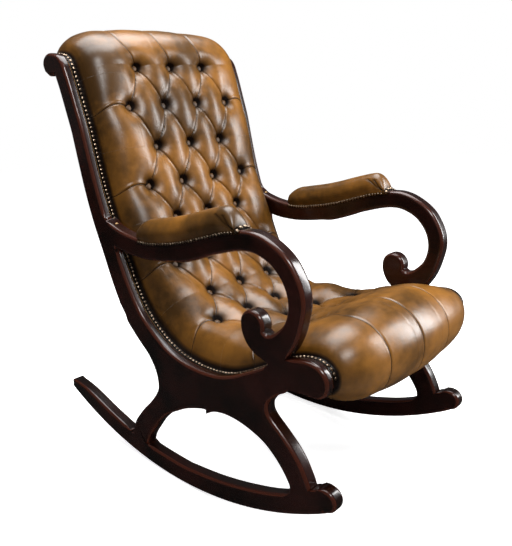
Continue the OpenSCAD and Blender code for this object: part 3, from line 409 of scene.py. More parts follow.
# where each row of buttons lies, as a share of the line's length, and how high the puffs stand there, in mm
row_shares = np.array([
    (-2.2, 0.004), (-1.8, 0.014), (-1.4, 0.026), (-1.0, 0.040), (-0.6, 0.053), (-0.2, 0.066), (0.2, 0.078),
    (0.6, 0.089), (1, 0.100), (2, 0.1645), (3, 0.228), (4, 0.2925), (5, 0.354), (6, 0.434), (7, 0.514), (8, 0.596),
    (9, 0.671), (10, 0.744), (11, 0.808), (11.5, 0.837), (12, 0.859), (12.5, 0.883), (13, 0.907), (13.5, 0.933),
    (14, 0.960), (14.5, 0.990)])
crowns = np.array([
    (-2.2, 20), (-1.8, 29), (-1.4, 43), (-1.0, 53), (-0.6, 58), (-0.2, 58), (0.2, 55), (0.6, 53), (1, 52), (2, 57),
    (3, 59), (4, 62), (5, 64), (6, 69), (7, 81), (8, 83), (9, 74), (10, 62), (11, 53), (11.5, 46), (12, 42),
    (12.5, 42), (13, 42), (13.5, 40), (14, 34), (14.5, 21)]) * (1, 0.001)
buttons = [(v, u) for v in range(FIRST_ROW, LAST_ROW + 1)
           for u in ((-1, 0, 1) if v % 2 else (-1.5, -0.5, 0.5, 1.5))]


def eased(t):
    t = np.clip(t, 0, 1)
    return t * t * (3 - 2 * t)


# the length of hide between two rows, measured over the puffs
walk_v = np.linspace(-2.2, 14.5, 3000)
walk_y, walk_z = on_line(np.interp(walk_v, *row_shares.T), np.interp(walk_v, *crowns.T))
walked = np.r_[0, np.cumsum(np.hypot(np.diff(walk_y), np.diff(walk_z)))]
row_pitch = np.convolve(np.pad(np.gradient(walked, walk_v), 60, "edge"), np.ones(121) / 121, "valid")


def pleat_drift(v, x):
    """How far the pleats over the two rolls run out to the sitter's right, as sewn on the real chair."""
    beyond = np.maximum(FIRST_ROW - v, (v - LAST_ROW) * 0.8)
    return eased(beyond / 1.1) * (-0.0245 + 0.076 * x)


def tufting(v, x):
    """Depth of the leather, from 0 on a puff to 1 at a button, and the signed distance to the nearest pleat."""
    pitch_v = np.interp(v, walk_v, row_pitch)
    u = x / PITCH
    steep = np.hypot(1 / PITCH, 0.5 / pitch_v)
    pa, pb = u + v / 2 + 0.5, u - v / 2 + 0.5
    sa, sb = abs(np.sin(np.pi * pa)), abs(np.sin(np.pi * pb))
    inside = (v >= FIRST_ROW) & (v <= LAST_ROW)
    middle = abs(u) <= 1.5
    valley = np.where(inside & middle, VALLEY * (1 - (sa * sb) ** 0.55), 0.0)
    # single pleats from the outer buttons to the frame
    out_share = np.clip((abs(x) - FIELD) / (BORDER - FIELD), 0, 1)
    even = np.clip(2 * np.round(v / 2), 2, 10)
    arch = 0.10 * out_share ** 2 - 0.10 * np.sin(np.pi * out_share)
    side_gap = (v - even - arch) * pitch_v
    outer = (VALLEY - 0.14 * eased(out_share)) * (1 - abs(np.sin(np.pi * (v - arch) / 2)) ** 1.1)
    outer = outer * eased((v - FIRST_ROW) / 0.4) * eased((LAST_ROW - v) / 0.4)
    valley = np.where(inside & ~middle, outer, valley)
    # single pleats from the end rows over the rolls
    beyond = np.maximum(FIRST_ROW - v, v - LAST_ROW)
    keep = np.exp(-np.maximum(beyond, 0) / 0.35)
    lane = (x - pleat_drift(v, np.round(np.clip(u, -1, 1)) * PITCH)) / PITCH
    over_roll = (0.33 * keep + 0.05) * (1 - abs(np.sin(np.pi * lane)) ** 1.1)
    valley = np.where((beyond > 0) & (abs(lane) <= 1.5), over_roll, valley)
    wells = np.zeros_like(valley)
    for bv, bu in buttons:
        r = np.hypot(x - bu * PITCH, (v - bv) * pitch_v)
        wells = np.maximum(wells, np.exp(-(r / WELL_R) ** 1.25))
    # the seat is drawn down harder than the back
    valley = valley * (1 + 0.35 * eased((v - 7.5) / 1.5) * eased((11.3 - v) / 0.6))
    depth = valley + (1 - valley) * wells
    da, db = (pa - np.round(pa)) / steep, (pb - np.round(pb)) / steep
    pleat = np.where(inside & middle, np.where(abs(da) < abs(db), da, db), PLEAT_REACH)
    pleat = np.where(~middle & (v > FIRST_ROW + 0.2) & (v < LAST_ROW - 0.2), side_gap, pleat)
    # over the rolls the hide is only creased, with no fold standing up
    lane_gap = abs(lane - np.round(np.clip(lane, -1, 1))) * PITCH * 0.8
    pleat = np.where((beyond > 0) & (abs(lane) < 1.5), lane_gap, pleat)
    return depth, np.clip(pleat, -PLEAT_REACH, PLEAT_REACH)


def soot(v, x):
    """Painted shade, with a little antique dye, along the flanks and in the wells, most above each button and to
    its left.
    """
    pitch_v = np.interp(v, walk_v, row_pitch)
    dark = (0.42 - 0.16 * eased((v - 5) / 2)) * eased((abs(x) - 0.180) / 0.055)
    for bv, bu in buttons:
        r = np.hypot(x - bu * PITCH - 0.0035, (v - bv) * pitch_v + 0.0045)
        dark = np.maximum(dark, np.exp(-(r / WELL_R) ** 2.2))
    return dark


def leather_height(v, x):
    crown = np.interp(v, *crowns.T)
    bow = 0.016 * eased((v - LAST_ROW) / 1.5) * eased((15 - v) / 1.5) * (1 - (x / BORDER) ** 2)
    # the stuffing is fullest in the middle and falls away to the nailed edges
    t = np.clip((abs(x) - 0.160) / (BORDER - 0.160), 0, 1)
    rise = np.clip(1 - t ** 2.4, 0, 1) ** 0.48
    on_rolls = np.maximum(eased((0.8 - v) / 1.2), eased((v - 9.5) / 1.5))
    arch = 1 - 0.15 * np.clip(abs(x) / 0.19, 0, 1.2) ** 2 * on_rolls
    # towards the sitter's left the roll has sunk a little and the seat stands fuller behind it
    left = eased((x - 0.10) / 0.10)
    settled = left * (0.017 * eased((v - 7.8) / 1.2) * eased((10.8 - v) / 1.0)
                      - 0.016 * eased((v - 10.8) / 0.9) * eased((13.1 - v) / 1.0))
    return HEM + rise * (crown * arch - HEM + bow + settled - TUFT * tufting(v, x)[0])


# the grid that is draped: across from nail strip to nail strip, and along by length over the puffs
rows, cols = 431, 161
across_x = np.linspace(-1, 1, cols)
across_x = np.sign(across_x) * EDGE * abs(across_x) ** 0.94
grid_v = np.interp(np.linspace(0, walked[-1], rows), walked, walk_v)[:, None] * np.ones(cols)
grid_x = np.ones(rows)[:, None] * across_x


def laid(v, x, height):
    y, z = on_line(np.interp(v, *row_shares.T), height)
    return np.stack([x, y, z], axis=-1)


def sheet_mesh(name, points):
    n, m = points.shape[:2]
    index = np.arange(n * m).reshape(n, m)
    quads = np.stack([index[:-1, :-1], index[:-1, 1:], index[1:, 1:], index[1:, :-1]], axis=-1).reshape(-1, 4)
    made = bpy.data.meshes.new(name)
    made.from_pydata(points.reshape(-1, 3).tolist(), [], quads.tolist())
    made.update()
    return made


# the stuffing's pressure, and how far and for how many frames it blows out the hide and the pads
PRESSURE = 3.0
HIDE_MOVE, PAD_MOVE, HIDE_FRAMES, PAD_FRAMES = 0.004, 0.003, 20, 14


def drape(mesh, pins, cap, frames, grid=None):
    """Blows a leather cover out over its stuffing with Blender's cloth, and returns where its points end up."""
    start = np.empty(len(mesh.vertices) * 3)
    mesh.vertices.foreach_get("co", start)
    start = start.reshape(-1, 3)
    piece = bpy.data.objects.new("draped_leather", mesh.copy())
    bpy.context.collection.objects.link(piece)
    held = piece.vertex_groups.new(name="held")
    pins = np.round(pins, 2)
    for grip in np.unique(pins):
        if grip > 0:
            held.add(np.flatnonzero(pins == grip).tolist(), float(grip), "REPLACE")
    cloth = piece.modifiers.new("cloth", "CLOTH")
    rule = cloth.settings
    rule.quality = 6
    rule.mass = 0.4
    rule.tension_stiffness = rule.compression_stiffness = 60
    rule.shear_stiffness = 30
    rule.bending_stiffness = 18
    rule.use_pressure = True
    rule.uniform_pressure_force = PRESSURE
    rule.vertex_group_mass = "held"
    rule.pin_stiffness = 2.0
    rule.effector_weights.gravity = 0
    cloth.point_cache.frame_end = frames
    for step in range(1, frames + 1):
        scene.frame_set(step)
    select_only(piece)
    bpy.ops.object.modifier_apply(modifier="cloth")
    end = np.empty(len(piece.data.vertices) * 3)
    piece.data.vertices.foreach_get("co", end)
    end = end.reshape(-1, 3)
    scene.frame_set(1)
    bpy.data.objects.remove(piece)
    moved = end - start
    if grid:
        # thick hide can't hold a wrinkle finer than a few millimetres
        field = moved.reshape(grid + (3,))
        for _ in range(6):
            for axis in (0, 1):
                padded = np.concatenate([field.take([0], axis), field, field.take([-1], axis)], axis)
                field = (padded.take(range(0, field.shape[axis]), axis) + 2 * field
                         + padded.take(range(2, field.shape[axis] + 2), axis)) / 4
        moved = field.reshape(-1, 3)
    far = np.linalg.norm(moved, axis=1)[:, None]
    return start + moved * np.minimum(1, cap / np.maximum(far, 1e-9))


def finer(points, axis):
    """Twice as many points along one axis, on smooth curves through the old ones."""
    p = np.moveaxis(points, axis, 0)
    before = np.concatenate([p[:1] * 2 - p[1:2], p[:-1]])[:-1]
    after = np.concatenate([p[1:], p[-1:] * 2 - p[-2:-1]])[1:]
    between = (9 * (p[:-1] + p[1:]) - before - after) / 16
    out_points = np.empty((len(p) * 2 - 1,) + p.shape[1:])
    out_points[::2], out_points[1::2] = p, between
    return np.moveaxis(out_points, 0, axis)


start = laid(grid_v, grid_x, leather_height(grid_v, grid_x))
depth, pleat = tufting(grid_v, grid_x)
# held at the buttons, along the nails and at both ends, and more loosely along the pleats
held_fast = np.maximum(eased((depth - 0.78) / 0.15), eased((abs(grid_x) - 0.234) / 0.006))
held_fast = np.maximum(held_fast, 0.35 * np.exp(-(pleat / 0.004) ** 2) * (abs(pleat) < 0.95 * PLEAT_REACH))
held_fast[:3] = held_fast[-3:] = 1
draped = drape(sheet_mesh("draped_leather", start), held_fast.ravel(), HIDE_MOVE, HIDE_FRAMES, (rows, cols))
surface = finer(finer(draped.reshape(rows, cols, 3), 0), 1)
fine_v, fine_x = finer(finer(grid_v, 0), 1), finer(finer(grid_x, 0), 1)
depth, pleat = tufting(fine_v, fine_x)
d_row, d_col = np.gradient(surface, axis=0), np.gradient(surface, axis=1)
normal = np.cross(d_col, d_row)
normal /= np.linalg.norm(normal, axis=-1)[..., None]
if normal[len(normal) // 3, len(normal[0]) // 2, 1] > 0:
    normal = -normal
# each pleat is a narrow tuck with the fold of the leather standing up along one side of it
tuck = (-0.0016 * np.exp(-(pleat / 0.0020) ** 2) + 0.0014 * np.exp(-((pleat + 0.0045) / 0.0028) ** 2))
tuck *= (abs(pleat) < 0.975 * PLEAT_REACH) * eased((BORDER - abs(fine_x)) / 0.01) * eased((1.02 - depth) / 0.3)
surface = surface + normal * tuck[..., None]
made = sheet_mesh("buttoned_leather", surface)
hide = bpy.data.objects.new("buttoned_leather", made)
bpy.context.collection.objects.link(hide)


def write_on(mesh, **fields):
    """Writes what the leather's material reads: crease, painted shade with a little dye, distance to a pleat and
    strip under the nails.
    """
    for name, values in fields.items():
        mesh.attributes.new(name, "FLOAT", "POINT").data.foreach_set("value", values.ravel().astype(np.float32))


# the darkening written here for the wells and flanks is painted shade with a little dye; the strip under the nails
# is dark leather in a sunken channel, darkened further with painted shadow
write_on(made, crease=depth, soot=soot(fine_v, fine_x), pleat=pleat, strip=eased((abs(fine_x) - 0.2405) / 0.0025))
# closed underneath, where it lies on the stuffing
shape = bmesh.new()
shape.from_mesh(made)
shape.verts.ensure_lookup_table()
n, m = surface.shape[:2]
low_left = [shape.verts[i * m] for i in range(n)]
low_right = [shape.verts[i * m + m - 1] for i in range(n)]
for i in range(n - 1):
    shape.faces.new((low_left[i], low_left[i + 1], low_right[i + 1], low_right[i]))
shape.faces.new([shape.verts[j] for j in range(m)])
shape.faces.new([shape.verts[(n - 1) * m + j] for j in range(m - 1, -1, -1)])
bmesh.ops.recalc_face_normals(shape, faces=shape.faces)
shape.to_mesh(made)
shape.free()

# LEATHER_DARK is the near black that the painted shade and the strip under the nails run to
LEATHER_MID, LEATHER_LIGHT, LEATHER_DARK = "#482e0b", "#84561b", "#0d0502"


def antiqued_hide(name, pleated):
    # tanned cow hide, hand dyed dark over a golden ground and rubbed back on the puffs: it gives the eye cloudy
    # golden browns under a soft wax sheen, and on the pleated hide painted shade runs them to black in the wells,
    # the creases and along the flanks
    made, tree, shine = new_material(name)
    coords = add_node(tree, "ShaderNodeTexCoord")
    # patches about 90 mm across, and cloudy rubbing about 12 mm across
    patches = add_node(tree, "ShaderNodeTexNoise", inputs={"Scale": 7, "Detail": 3, "Roughness": 0.5},
                       links={"Vector": coords.outputs["Object"]})
    clouds = add_node(tree, "ShaderNodeTexNoise", inputs={"Scale": 50, "Detail": 5, "Roughness": 0.62},
                      links={"Vector": coords.outputs["Object"]})
    mixed = add_node(tree, "ShaderNodeMath", {"operation": "MULTIPLY_ADD"}, {1: 0.34},
                     {0: clouds.outputs["Fac"], 2: patches.outputs["Fac"]})
    tone = add_node(tree, "ShaderNodeValToRGB", links={"Fac": mixed.outputs[0]})
    tone.color_ramp.elements[0].position = 0.54
    tone.color_ramp.elements[0].color = linear(LEATHER_MID)
    tone.color_ramp.elements[1].position = 0.84
    tone.color_ramp.elements[1].color = linear(LEATHER_LIGHT)
    dye = tone.outputs["Color"]
    if pleated:
        depth = add_node(tree, "ShaderNodeAttribute", {"attribute_name": "crease"})
        shade_and_dye_attr = add_node(tree, "ShaderNodeAttribute", {"attribute_name": "soot"})
        edge = add_node(tree, "ShaderNodeAttribute", {"attribute_name": "strip"})
        gap = add_node(tree, "ShaderNodeAttribute", {"attribute_name": "pleat"})
        # painted shade: the hide darkens towards black down into each well, added to the painted shade of wells
        # and flanks read above
        low = add_node(tree, "ShaderNodeMapRange",
                       inputs={"From Min": 0.30, "From Max": 0.95, "To Min": 0.0, "To Max": 0.55},
                       links={"Value": depth.outputs["Fac"]})
        dark = add_node(tree, "ShaderNodeMath", {"operation": "MULTIPLY_ADD", "use_clamp": True}, {1: 0.98},
                        {0: shade_and_dye_attr.outputs["Fac"], 2: low.outputs[0]})
        # painted shade in each pleat: a thin dark line along its groove
        width = add_node(tree, "ShaderNodeMath", {"operation": "ABSOLUTE"}, links={0: gap.outputs["Fac"]})
        line_dark = add_node(tree, "ShaderNodeMapRange", {"interpolation_type": "SMOOTHSTEP"},
                             {"From Min": 0.0003, "From Max": 0.0016, "To Min": 0.88, "To Max": 0.0},
                             {"Value": width.outputs[0]})
        both = add_node(tree, "ShaderNodeMath", {"operation": "MAXIMUM"},
                        links={0: dark.outputs[0], 1: line_dark.outputs[0]})
        shade_dye_and_strip = add_node(tree, "ShaderNodeMath", {"operation": "MAXIMUM"},
                        links={0: both.outputs[0], 1: edge.outputs["Fac"]})
        colour = add_node(tree, "ShaderNodeMix", {"data_type": "RGBA"}, links={"Factor": shade_dye_and_strip.outputs[0]})
        tree.links.new(dye, colour.inputs[6])
        colour.inputs[7].default_value = linear(LEATHER_DARK)
        dye = colour.outputs[2]
        # the sheen is turned down where the shade is painted in; unpolished wax in the wells hardly shines
        polish = add_node(tree, "ShaderNodeMapRange", inputs={"To Min": 0.56, "To Max": 0.06},
                          links={"Value": dark.outputs[0]})
        tree.links.new(polish.outputs[0], shine.inputs["Specular IOR Level"])
    tree.links.new(dye, shine.inputs["Base Color"])
    # pores 1.6 mm apart, drawn larger than life so that they show, and fine creases
    pores = add_node(tree, "ShaderNodeTexVoronoi", {"feature": "DISTANCE_TO_EDGE"}, {"Scale": 620},
                     {"Vector": coords.outputs["Object"]})
    creases = add_node(tree, "ShaderNodeTexNoise",
                       inputs={"Scale": 48, "Detail": 5, "Roughness": 0.6, "Distortion": 0.6},
                       links={"Vector": coords.outputs["Object"]})
    heights = add_node(tree, "ShaderNodeMath", {"operation": "MULTIPLY_ADD"}, {1: 0.35},
                       {0: pores.outputs["Distance"], 2: creases.outputs["Fac"]})
    bump = add_node(tree, "ShaderNodeBump", inputs={"Strength": 0.25, "Distance": 0.0012},
                    links={"Height": heights.outputs[0]})
    if pleated:
        # each pleat is a groove 1.5 mm wide with the rolled fold of the hide standing up beside it
        spread = add_node(tree, "ShaderNodeMapRange", inputs={"From Min": -0.008, "From Max": 0.008},
                          links={"Value": gap.outputs["Fac"]})
        fold = add_node(tree, "ShaderNodeValToRGB", links={"Fac": spread.outputs[0]})
        fold.color_ramp.interpolation = "B_SPLINE"
        stops = fold.color_ramp.elements
        for place in (0.22, 0.34, 0.43, 0.50, 0.57, 0.66):
            stops.new(place)
        for stop, grey in zip(stops, (0.4, 0.42, 0.95, 0.75, 0.0, 0.62, 0.52, 0.4)):
            stop.color = (grey, grey, grey, 1)
        bump = add_node(tree, "ShaderNodeBump", inputs={"Strength": 0.75, "Distance": 0.0020},
                        links={"Height": fold.outputs["Color"], "Normal": bump.outputs[0]})
    tree.links.new(bump.outputs[0], shine.inputs["Normal"])
    rough = add_node(tree, "ShaderNodeMapRange", inputs={"To Min": 0.25, "To Max": 0.40},
                     links={"Value": clouds.outputs["Fac"]})
    if pleated:
        # the wax is never polished down in the wells
        dull = add_node(tree, "ShaderNodeMapRange",
                        inputs={"From Min": 0.5, "From Max": 0.95, "To Min": 0.0, "To Max": 0.45},
                        links={"Value": depth.outputs["Fac"]})
        rough = add_node(tree, "ShaderNodeMath", {"operation": "ADD"},
                         links={0: rough.outputs[0], 1: dull.outputs[0]})
    tree.links.new(rough.outputs[0], shine.inputs["Roughness"])
    return made


leather = antiqued_hide("antiqued cow hide", True)
plain_leather = antiqued_hide("antiqued cow hide without pleats", False)
# the buttons' hide is painted 0.45 times as dark, as the shade they sit in at the bottom of their wells, and is
# left rougher
button_leather = antiqued_hide("button hide in painted shade", False)
for stop in button_leather.node_tree.nodes["Color Ramp"].color_ramp.elements:
    stop.color = [c * 0.45 for c in stop.color[:3]] + [1]
button_leather.node_tree.nodes["Map Range"].inputs["To Min"].default_value = 0.42
button_leather.node_tree.nodes["Map Range"].inputs["To Max"].default_value = 0.60
hide.data.materials.append(leather)
select_only(hide)
bpy.ops.object.shade_smooth_by_angle(angle=math.radians(75))
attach(hide, "root")
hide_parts("back_cover", "seat_cover", "back_filling", "seat_filling")


# Buttons.  Each is a metal dome covered in the same hide and drawn down hard on its twine, which is tied off
# behind the webbing, so that the dome sits at the bottom of its well.
BUTTON_R, BUTTON_FLAT, BUTTON_LIFT = 0.0085, 0.5, 0.0020


def joined(name, pieces):
    """Makes one piece of several, with its place in its mesh."""
    select_only(*pieces)
    bpy.ops.object.join()
    whole = bpy.context.object
    whole.name = name
    bpy.ops.object.transform_apply(location=True, rotation=True, scale=True)
    return whole


for part, low_v, high_v in (("back", 0, 6.5), ("seat", 6.5, 12)):
    domes = []
    for v, u in buttons:
        if not low_v < v < high_v:
            continue
        x = u * PITCH
        i = int(np.argmin(abs(fine_v[:, 0] - v)))
        j = int(np.argmin(abs(fine_x[0] - x)))
        place = Vector(surface[i, j])
        share = np.interp(v, *row_shares.T)
        y0, z0 = on_line(share, 0.0)
        y1, z1 = on_line(share, 0.02)
        up = Vector((0, y1 - y0, z1 - z0)).normalized()
        bpy.ops.object.select_all(action="DESELECT")
        bpy.ops.mesh.primitive_uv_sphere_add(segments=20, ring_count=10, radius=BUTTON_R,
                                             location=place + up * BUTTON_LIFT,
                                             rotation=up.to_track_quat("Z", "Y").to_euler(),
                                             scale=(1, 1, BUTTON_FLAT))
        domes.append(bpy.context.object)
    button_set = joined("covered_buttons_" + part, domes)
    bpy.ops.object.shade_smooth()
    button_set.data.materials.append(button_leather)
    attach(button_set, "root")
    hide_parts(part + "_buttons")


# Facing of the crest rail.  The end of the hide is carried over the back of the crest rail, glued and pressed flat
# on the wood, down to where the outside back begins.
REBATE, RAIL_DEPTH, FACING_T, FACING_W = 0.008, 0.028, 0.003, 0.488
faces = [on_line(0.012, -REBATE), on_line(0.100, -REBATE - RAIL_DEPTH), on_line(0.1165, -REBATE - RAIL_DEPTH)]
parts = []
for (y0, z0), (y1, z1) in zip(faces[:-1], faces[1:]):
    bpy.ops.object.select_all(action="DESELECT")
    bpy.ops.mesh.primitive_cube_add(size=1, location=(0, (y0 + y1) / 2, (z0 + z1) / 2),
                                    rotation=(math.atan2(z1 - z0, y1 - y0), 0, 0),
                                    scale=(FACING_W, math.hypot(y1 - y0, z1 - z0), FACING_T))
    parts.append(bpy.context.object)
rail_facing = joined("leather_over_crest_rail", parts)
rail_facing.data.materials.append(plain_leather)
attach(rail_facing, "root")


# Arm pads.  Hide drawn over a stuffed pillow along the top of each arm, folded in pleats at the front corners and
# nailed down both sides of the wood, with four larger nails across the flap in front.
ARM_T, PAD_W, PAD_TOP, LAP, FLAP = 0.034, 0.047, 0.0470, 0.0085, 0.009
PAD_REAR, PAD_FRONT = 0.592, 0.272
HEM_OUT, LINING_OUT, LINING_UP = 0.0016, 0.0002, 0.0003
# the top of the arm, in shares of the frame's depth and height, from front to back
arm_shares = np.array([
    (0.7280, 0.6410), (0.6912, 0.6280), (0.6440, 0.6180), (0.5900, 0.6140), (0.5460, 0.6165), (0.5095, 0.6230),
    (0.4570, 0.6340), (0.4065, 0.6480), (0.3590, 0.6640), (0.3140, 0.6785), (0.2794, 0.6860), (0.2574, 0.6890),
    (0.2310, 0.6905), (0.2048, 0.6870)])
arm_line = curve_through(arm_shares, 10)[::-1] * (FRAME_D, FRAME_H) + (FRAME_Y, 0)
pad_rows, crown_cols = 121, 54
t = np.linspace(0, 1, pad_rows)
t = 0.4 * t + 0.6 * (1 - np.cos(np.pi * t)) / 2
pad_y = FRAME_Y + PAD_REAR * FRAME_D + ((PAD_FRONT - PAD_REAR) * FRAME_D - FLAP) * t
pad_z = np.interp(pad_y, arm_line[:, 0], arm_line[:, 1])
slope_y, slope_z = np.gradient(pad_y), np.gradient(pad_z)
slope = np.hypot(slope_y, slope_z)
up_y, up_z = slope_z / slope, -slope_y / slope
run = np.r_[0, np.cumsum(np.hypot(np.diff(pad_y), np.diff(pad_z)))]
pad_len = run[-1] - FLAP
rear = np.clip(1 - (1 - np.clip(run / 0.052, 0, 1)) ** 2.2, 0, 1) ** 0.5
front = np.clip(1 - (1 - np.clip((pad_len - run) / 0.030, 0, 1)) ** 2.1, 0, 1) ** 0.5
full = np.maximum(np.minimum(rear * 0.97 + 0.03, front), 0.035)
for side, sign in (("left", 1), ("right", -1)):
    rings, folds, pad_shade_and_dye = [], [], []
    for k in range(pad_rows):
        angle = np.linspace(0, np.pi, crown_cols)
        wide = PAD_W / 2 * (0.76 + 0.24 * full[k])
        bulge = 0.97 + 0.08 * math.sin(math.pi * min(1, run[k] / pad_len)) - 0.05 * run[k] / pad_len
        high = PAD_TOP * full[k] * bulge
        px = np.sign(np.cos(angle)) * abs(np.cos(angle)) ** 0.88 * wide
        ph = abs(np.sin(angle)) ** 0.84 * high
        px = px * (1 - 0.17 * np.clip(1 - ph / (0.36 * high), 0, 1) ** 1.6)
        backs = 0.011 * math.exp(-(run[k] / 0.022) ** 1.5) * np.clip(ph / (0.45 * PAD_TOP), 0, 1) ** 0.8
        # the folds at the front corners lie slanting down and forwards to the last nail
        ahead = pad_len - run[k]
        fold = np.full(crown_cols, PLEAT_REACH)
        for far_back, top_of in ((0.044, 0.034), (0.026, 0.030)):
            middle = 0.006 + (far_back - 0.006) * ph / top_of
            fold = np.where(ph < top_of, np.minimum(fold, abs(ahead - middle) * 0.8), fold)
            px = px * (1 - 0.10 * np.exp(-((ahead - middle) / 0.0032) ** 2) * (ph < top_of) * (ph > 0.001))
        hem, lining = ARM_T / 2 + HEM_OUT, ARM_T / 2 + LINING_OUT
        outline = [(hem, -LAP, 0), (hem + 0.0006, -LAP * 0.5, 0)]
        outline += [(a, b + 0.0004, c) for a, b, c in zip(px, ph, backs)]
        outline += [(-hem - 0.0006, -LAP * 0.5, 0), (-hem, -LAP, 0)]
        outline += [(-lining, -LAP, 0), (-lining, LINING_UP, 0), (lining, LINING_UP, 0), (lining, -LAP, 0)]
        ring = []
        for across, height, back in outline:
            py, pz = lean_over(pad_y[k] + height * up_y[k] + back, pad_z[k] + height * up_z[k])
            ring.append((sign * (HALF_W - ARM_T / 2 + across), py, pz))
        rings.append(ring)
        folds.append(np.r_[[PLEAT_REACH] * 2, fold, [PLEAT_REACH] * 6])
        # below the widest part of the pillow the side is darker, partly dye left where no hand rubs it away and
        # partly painted shade under the bulge; the hem, the lining and the flap in front are painted dark as shade
        low = 0.50 * eased((0.58 - ph / PAD_TOP) / 0.30) * eased((ahead - 0.030) / 0.02)
        pad_shade_and_dye.append(np.r_[[0.9] * 2, np.maximum(low, ahead < 0.001), [0.9] * 6])
    rings = np.array(rings)
    count = rings.shape[1]
    index = np.arange(pad_rows * count).reshape(pad_rows, count)
    beside = np.roll(index, -1, axis=1)
    quads = np.stack([index[:-1], beside[:-1], beside[1:], index[1:]], axis=-1).reshape(-1, 4).tolist()
    made = bpy.data.meshes.new("arm_pad")
    made.from_pydata(rings.reshape(-1, 3).tolist(), [], quads + [index[0].tolist()] + [index[-1][::-1].tolist()])
    shape = bmesh.new()
    shape.from_mesh(made)
    bmesh.ops.recalc_face_normals(shape, faces=shape.faces)
    shape.to_mesh(made)
    shape.free()
    keep = np.zeros((pad_rows, count))
    keep[:, :3] = keep[:, -7:] = 1
    keep[:2] = 1
    keep[(pad_len - run) < 0.004] = 1
    settled = drape(made, keep.ravel(), PAD_MOVE, PAD_FRAMES)
    made.vertices.foreach_set("co", settled.ravel())
    made.update()
    folds = np.array(folds)
    # the folds at the front corners are painted dark along their creases, as shade
    write_on(made, crease=np.exp(-(folds / 0.003) ** 2) * 0.5,
             soot=np.maximum(pad_shade_and_dye, np.exp(-(folds / 0.004) ** 2) * 0.6), pleat=folds, strip=np.zeros(folds.shape))
    pad = bpy.data.objects.new("stuffed_arm_pad_" + side, made)
    bpy.context.collection.objects.link(pad)
    pad.data.materials.append(leather)
    select_only(pad)
    bpy.ops.object.shade_smooth_by_angle(angle=math.radians(60))
    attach(pad, "root")
    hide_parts("arm_pad_" + side, "arm_pad_filling_" + side)


# Nails of the arm pads.  Pressed brass domes driven close together through the hem into both sides of the arm,
# with four larger ones across the flap.  The sizes are their radii and the step between them.
SMALL_NAIL, LARGE_NAIL, NAIL_STEP, NAIL_FLAT = 0.0032, 0.0054, 0.0086, 0.65
NAIL_OUT, NAIL_DOWN = 0.0022, LAP - 0.0030
# brass darkened with acid and rubbed bright on the domes: brown metal in patches about 4 mm wide, with a small
# warm light on each head
antique_brass, tree, shine = new_material("antiqued brass")
coords = add_node(tree, "ShaderNodeTexCoord")
tarnish = add_node(tree, "ShaderNodeTexNoise", inputs={"Scale": 260, "Detail": 3},
                   links={"Vector": coords.outputs["Object"]})
tone = add_node(tree, "ShaderNodeValToRGB", links={"Fac": tarnish.outputs["Fac"]})
tone.color_ramp.elements[0].position = 0.35
tone.color_ramp.elements[0].color = linear("#3c2f25")
tone.color_ramp.elements[1].position = 0.62
tone.color_ramp.elements[1].color = linear("#a5917c")
tree.links.new(tone.outputs["Color"], shine.inputs["Base Color"])
shine.inputs["Roughness"].default_value = 0.30
shine.inputs["Metallic"].default_value = 1.0
for side, sign in (("left", 1), ("right", -1)):
    heads, spots = [], []
    for place in np.arange(0.004, pad_len - 0.002, NAIL_STEP):
        y, z = np.interp(place, run, pad_y), np.interp(place, run, pad_z)
        ny, nz = np.interp(place, run, up_y), np.interp(place, run, up_z)
        for face in (1, -1):
            spots.append((face * (ARM_T / 2 + NAIL_OUT), y - NAIL_DOWN * ny, z - NAIL_DOWN * nz,
                          (face * sign, 0, 0), SMALL_NAIL))
    place = run[-1] - FLAP * 0.5
    y, z = np.interp(place, run, pad_y), np.interp(place, run, pad_z)
    ny, nz = np.interp(place, run, up_y), np.interp(place, run, up_z)
    for across, lift, turn in ((-0.0168, -0.0020, -0.8), (-0.0058, 0.0032, 0),
                               (0.0058, 0.0032, 0), (0.0168, -0.0020, 0.8)):
        way_out = (sign * math.sin(turn), ny * math.cos(turn), nz * math.cos(turn))
        spots.append((across, y + lift * ny, z + lift * nz, way_out, LARGE_NAIL))
    bpy.ops.object.select_all(action="DESELECT")
    bpy.ops.mesh.primitive_uv_sphere_add(segments=10, ring_count=6, radius=1.0, location=(0, 0, 0),
                                         scale=(1, 1, NAIL_FLAT))
    first_head = bpy.context.object
    bpy.ops.object.transform_apply(location=False, rotation=False, scale=True)
    bpy.ops.object.shade_smooth()
    for across, y, z, way_out, size in spots:
        head = first_head.copy()
        head.data = first_head.data.copy()
        bpy.context.collection.objects.link(head)
        y, z = lean_over(y, z)
        turned = (tilt.to_3x3() @ Vector(way_out)).to_track_quat("Z", "Y").to_matrix().to_4x4()
        place = Matrix.Translation((sign * (HALF_W - ARM_T / 2 + across), y, z))
        head.matrix_world = place @ turned @ Matrix.Scale(size, 4)
        heads.append(head)
    bpy.data.objects.remove(first_head)
    row = joined("arm_pad_dome_nails_" + side, heads)
    row.data.materials.append(antique_brass)
    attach(row, "root")
    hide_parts("arm_pad_nails_" + side)


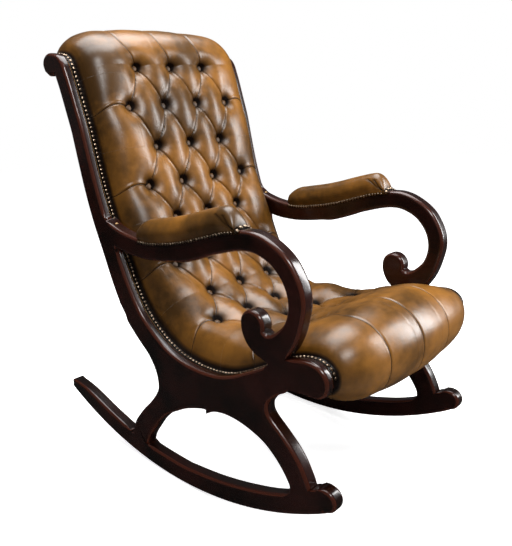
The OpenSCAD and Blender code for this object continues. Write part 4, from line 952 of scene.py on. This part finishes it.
# What keeps its solid from the CAD: the brass nails along the frames, the leather of the outside back, and all
# that lies inside or below.  Rails and blocks are beech, screws and tacks steel, webbing and hessian jute, and
# the dust cover is cambric, tacked on last.
def plain_finish(name, light, dark, per_metre, roughness, metallic=0.0):
    """A finish with a mottle of two tones, whose spots are 1 / per_metre wide."""
    made, tree, shine = new_material(name)
    coords = add_node(tree, "ShaderNodeTexCoord")
    mottle = add_node(tree, "ShaderNodeTexNoise", inputs={"Scale": per_metre, "Detail": 3},
                      links={"Vector": coords.outputs["Object"]})
    tone = add_node(tree, "ShaderNodeValToRGB", links={"Fac": mottle.outputs["Fac"]})
    tone.color_ramp.elements[0].position = 0.35
    tone.color_ramp.elements[0].color = linear(dark)
    tone.color_ramp.elements[1].position = 0.65
    tone.color_ramp.elements[1].color = linear(light)
    tree.links.new(tone.outputs["Color"], shine.inputs["Base Color"])
    lift = add_node(tree, "ShaderNodeBump", inputs={"Strength": 0.2, "Distance": 0.0008},
                    links={"Height": mottle.outputs["Fac"]})
    tree.links.new(lift.outputs[0], shine.inputs["Normal"])
    shine.inputs["Roughness"].default_value = roughness
    shine.inputs["Metallic"].default_value = metallic
    return made


finishes = {
    # pale and matt, with a broad faint figure 25 mm wide
    "beech": plain_finish("planed beech", "#c29a63", "#a37b48", 40, 0.6),
    # grey metal with soft lights, spangled 3 mm wide
    "steel": plain_finish("zinc plated steel", "#a8a8aa", "#77777a", 300, 0.35, 1.0),
    # dry straw brown, uneven from thread to thread, 2 mm apart
    "jute": plain_finish("woven jute", "#a98e5f", "#7d6740", 500, 0.9),
    # a dull dark tangle, its curls 2.5 mm wide
    "horsehair": plain_finish("curled horsehair", "#54473d", "#2e2620", 400, 0.9),
    "leather": plain_leather,
    "brass_nails": antique_brass,
    # flat black, its threads drawn 1.4 mm apart so that they show
    "black_cambric": plain_finish("black cambric", "#242427", "#151517", 700, 0.95),
}
slots = {item["node"]: item["material_slot"] for item in frame["record"]["subparts"]}
for name, piece in nodes.items():
    finish = finishes.get(slots[name])
    if finish:
        piece.data.materials.clear()
        piece.data.materials.append(finish)
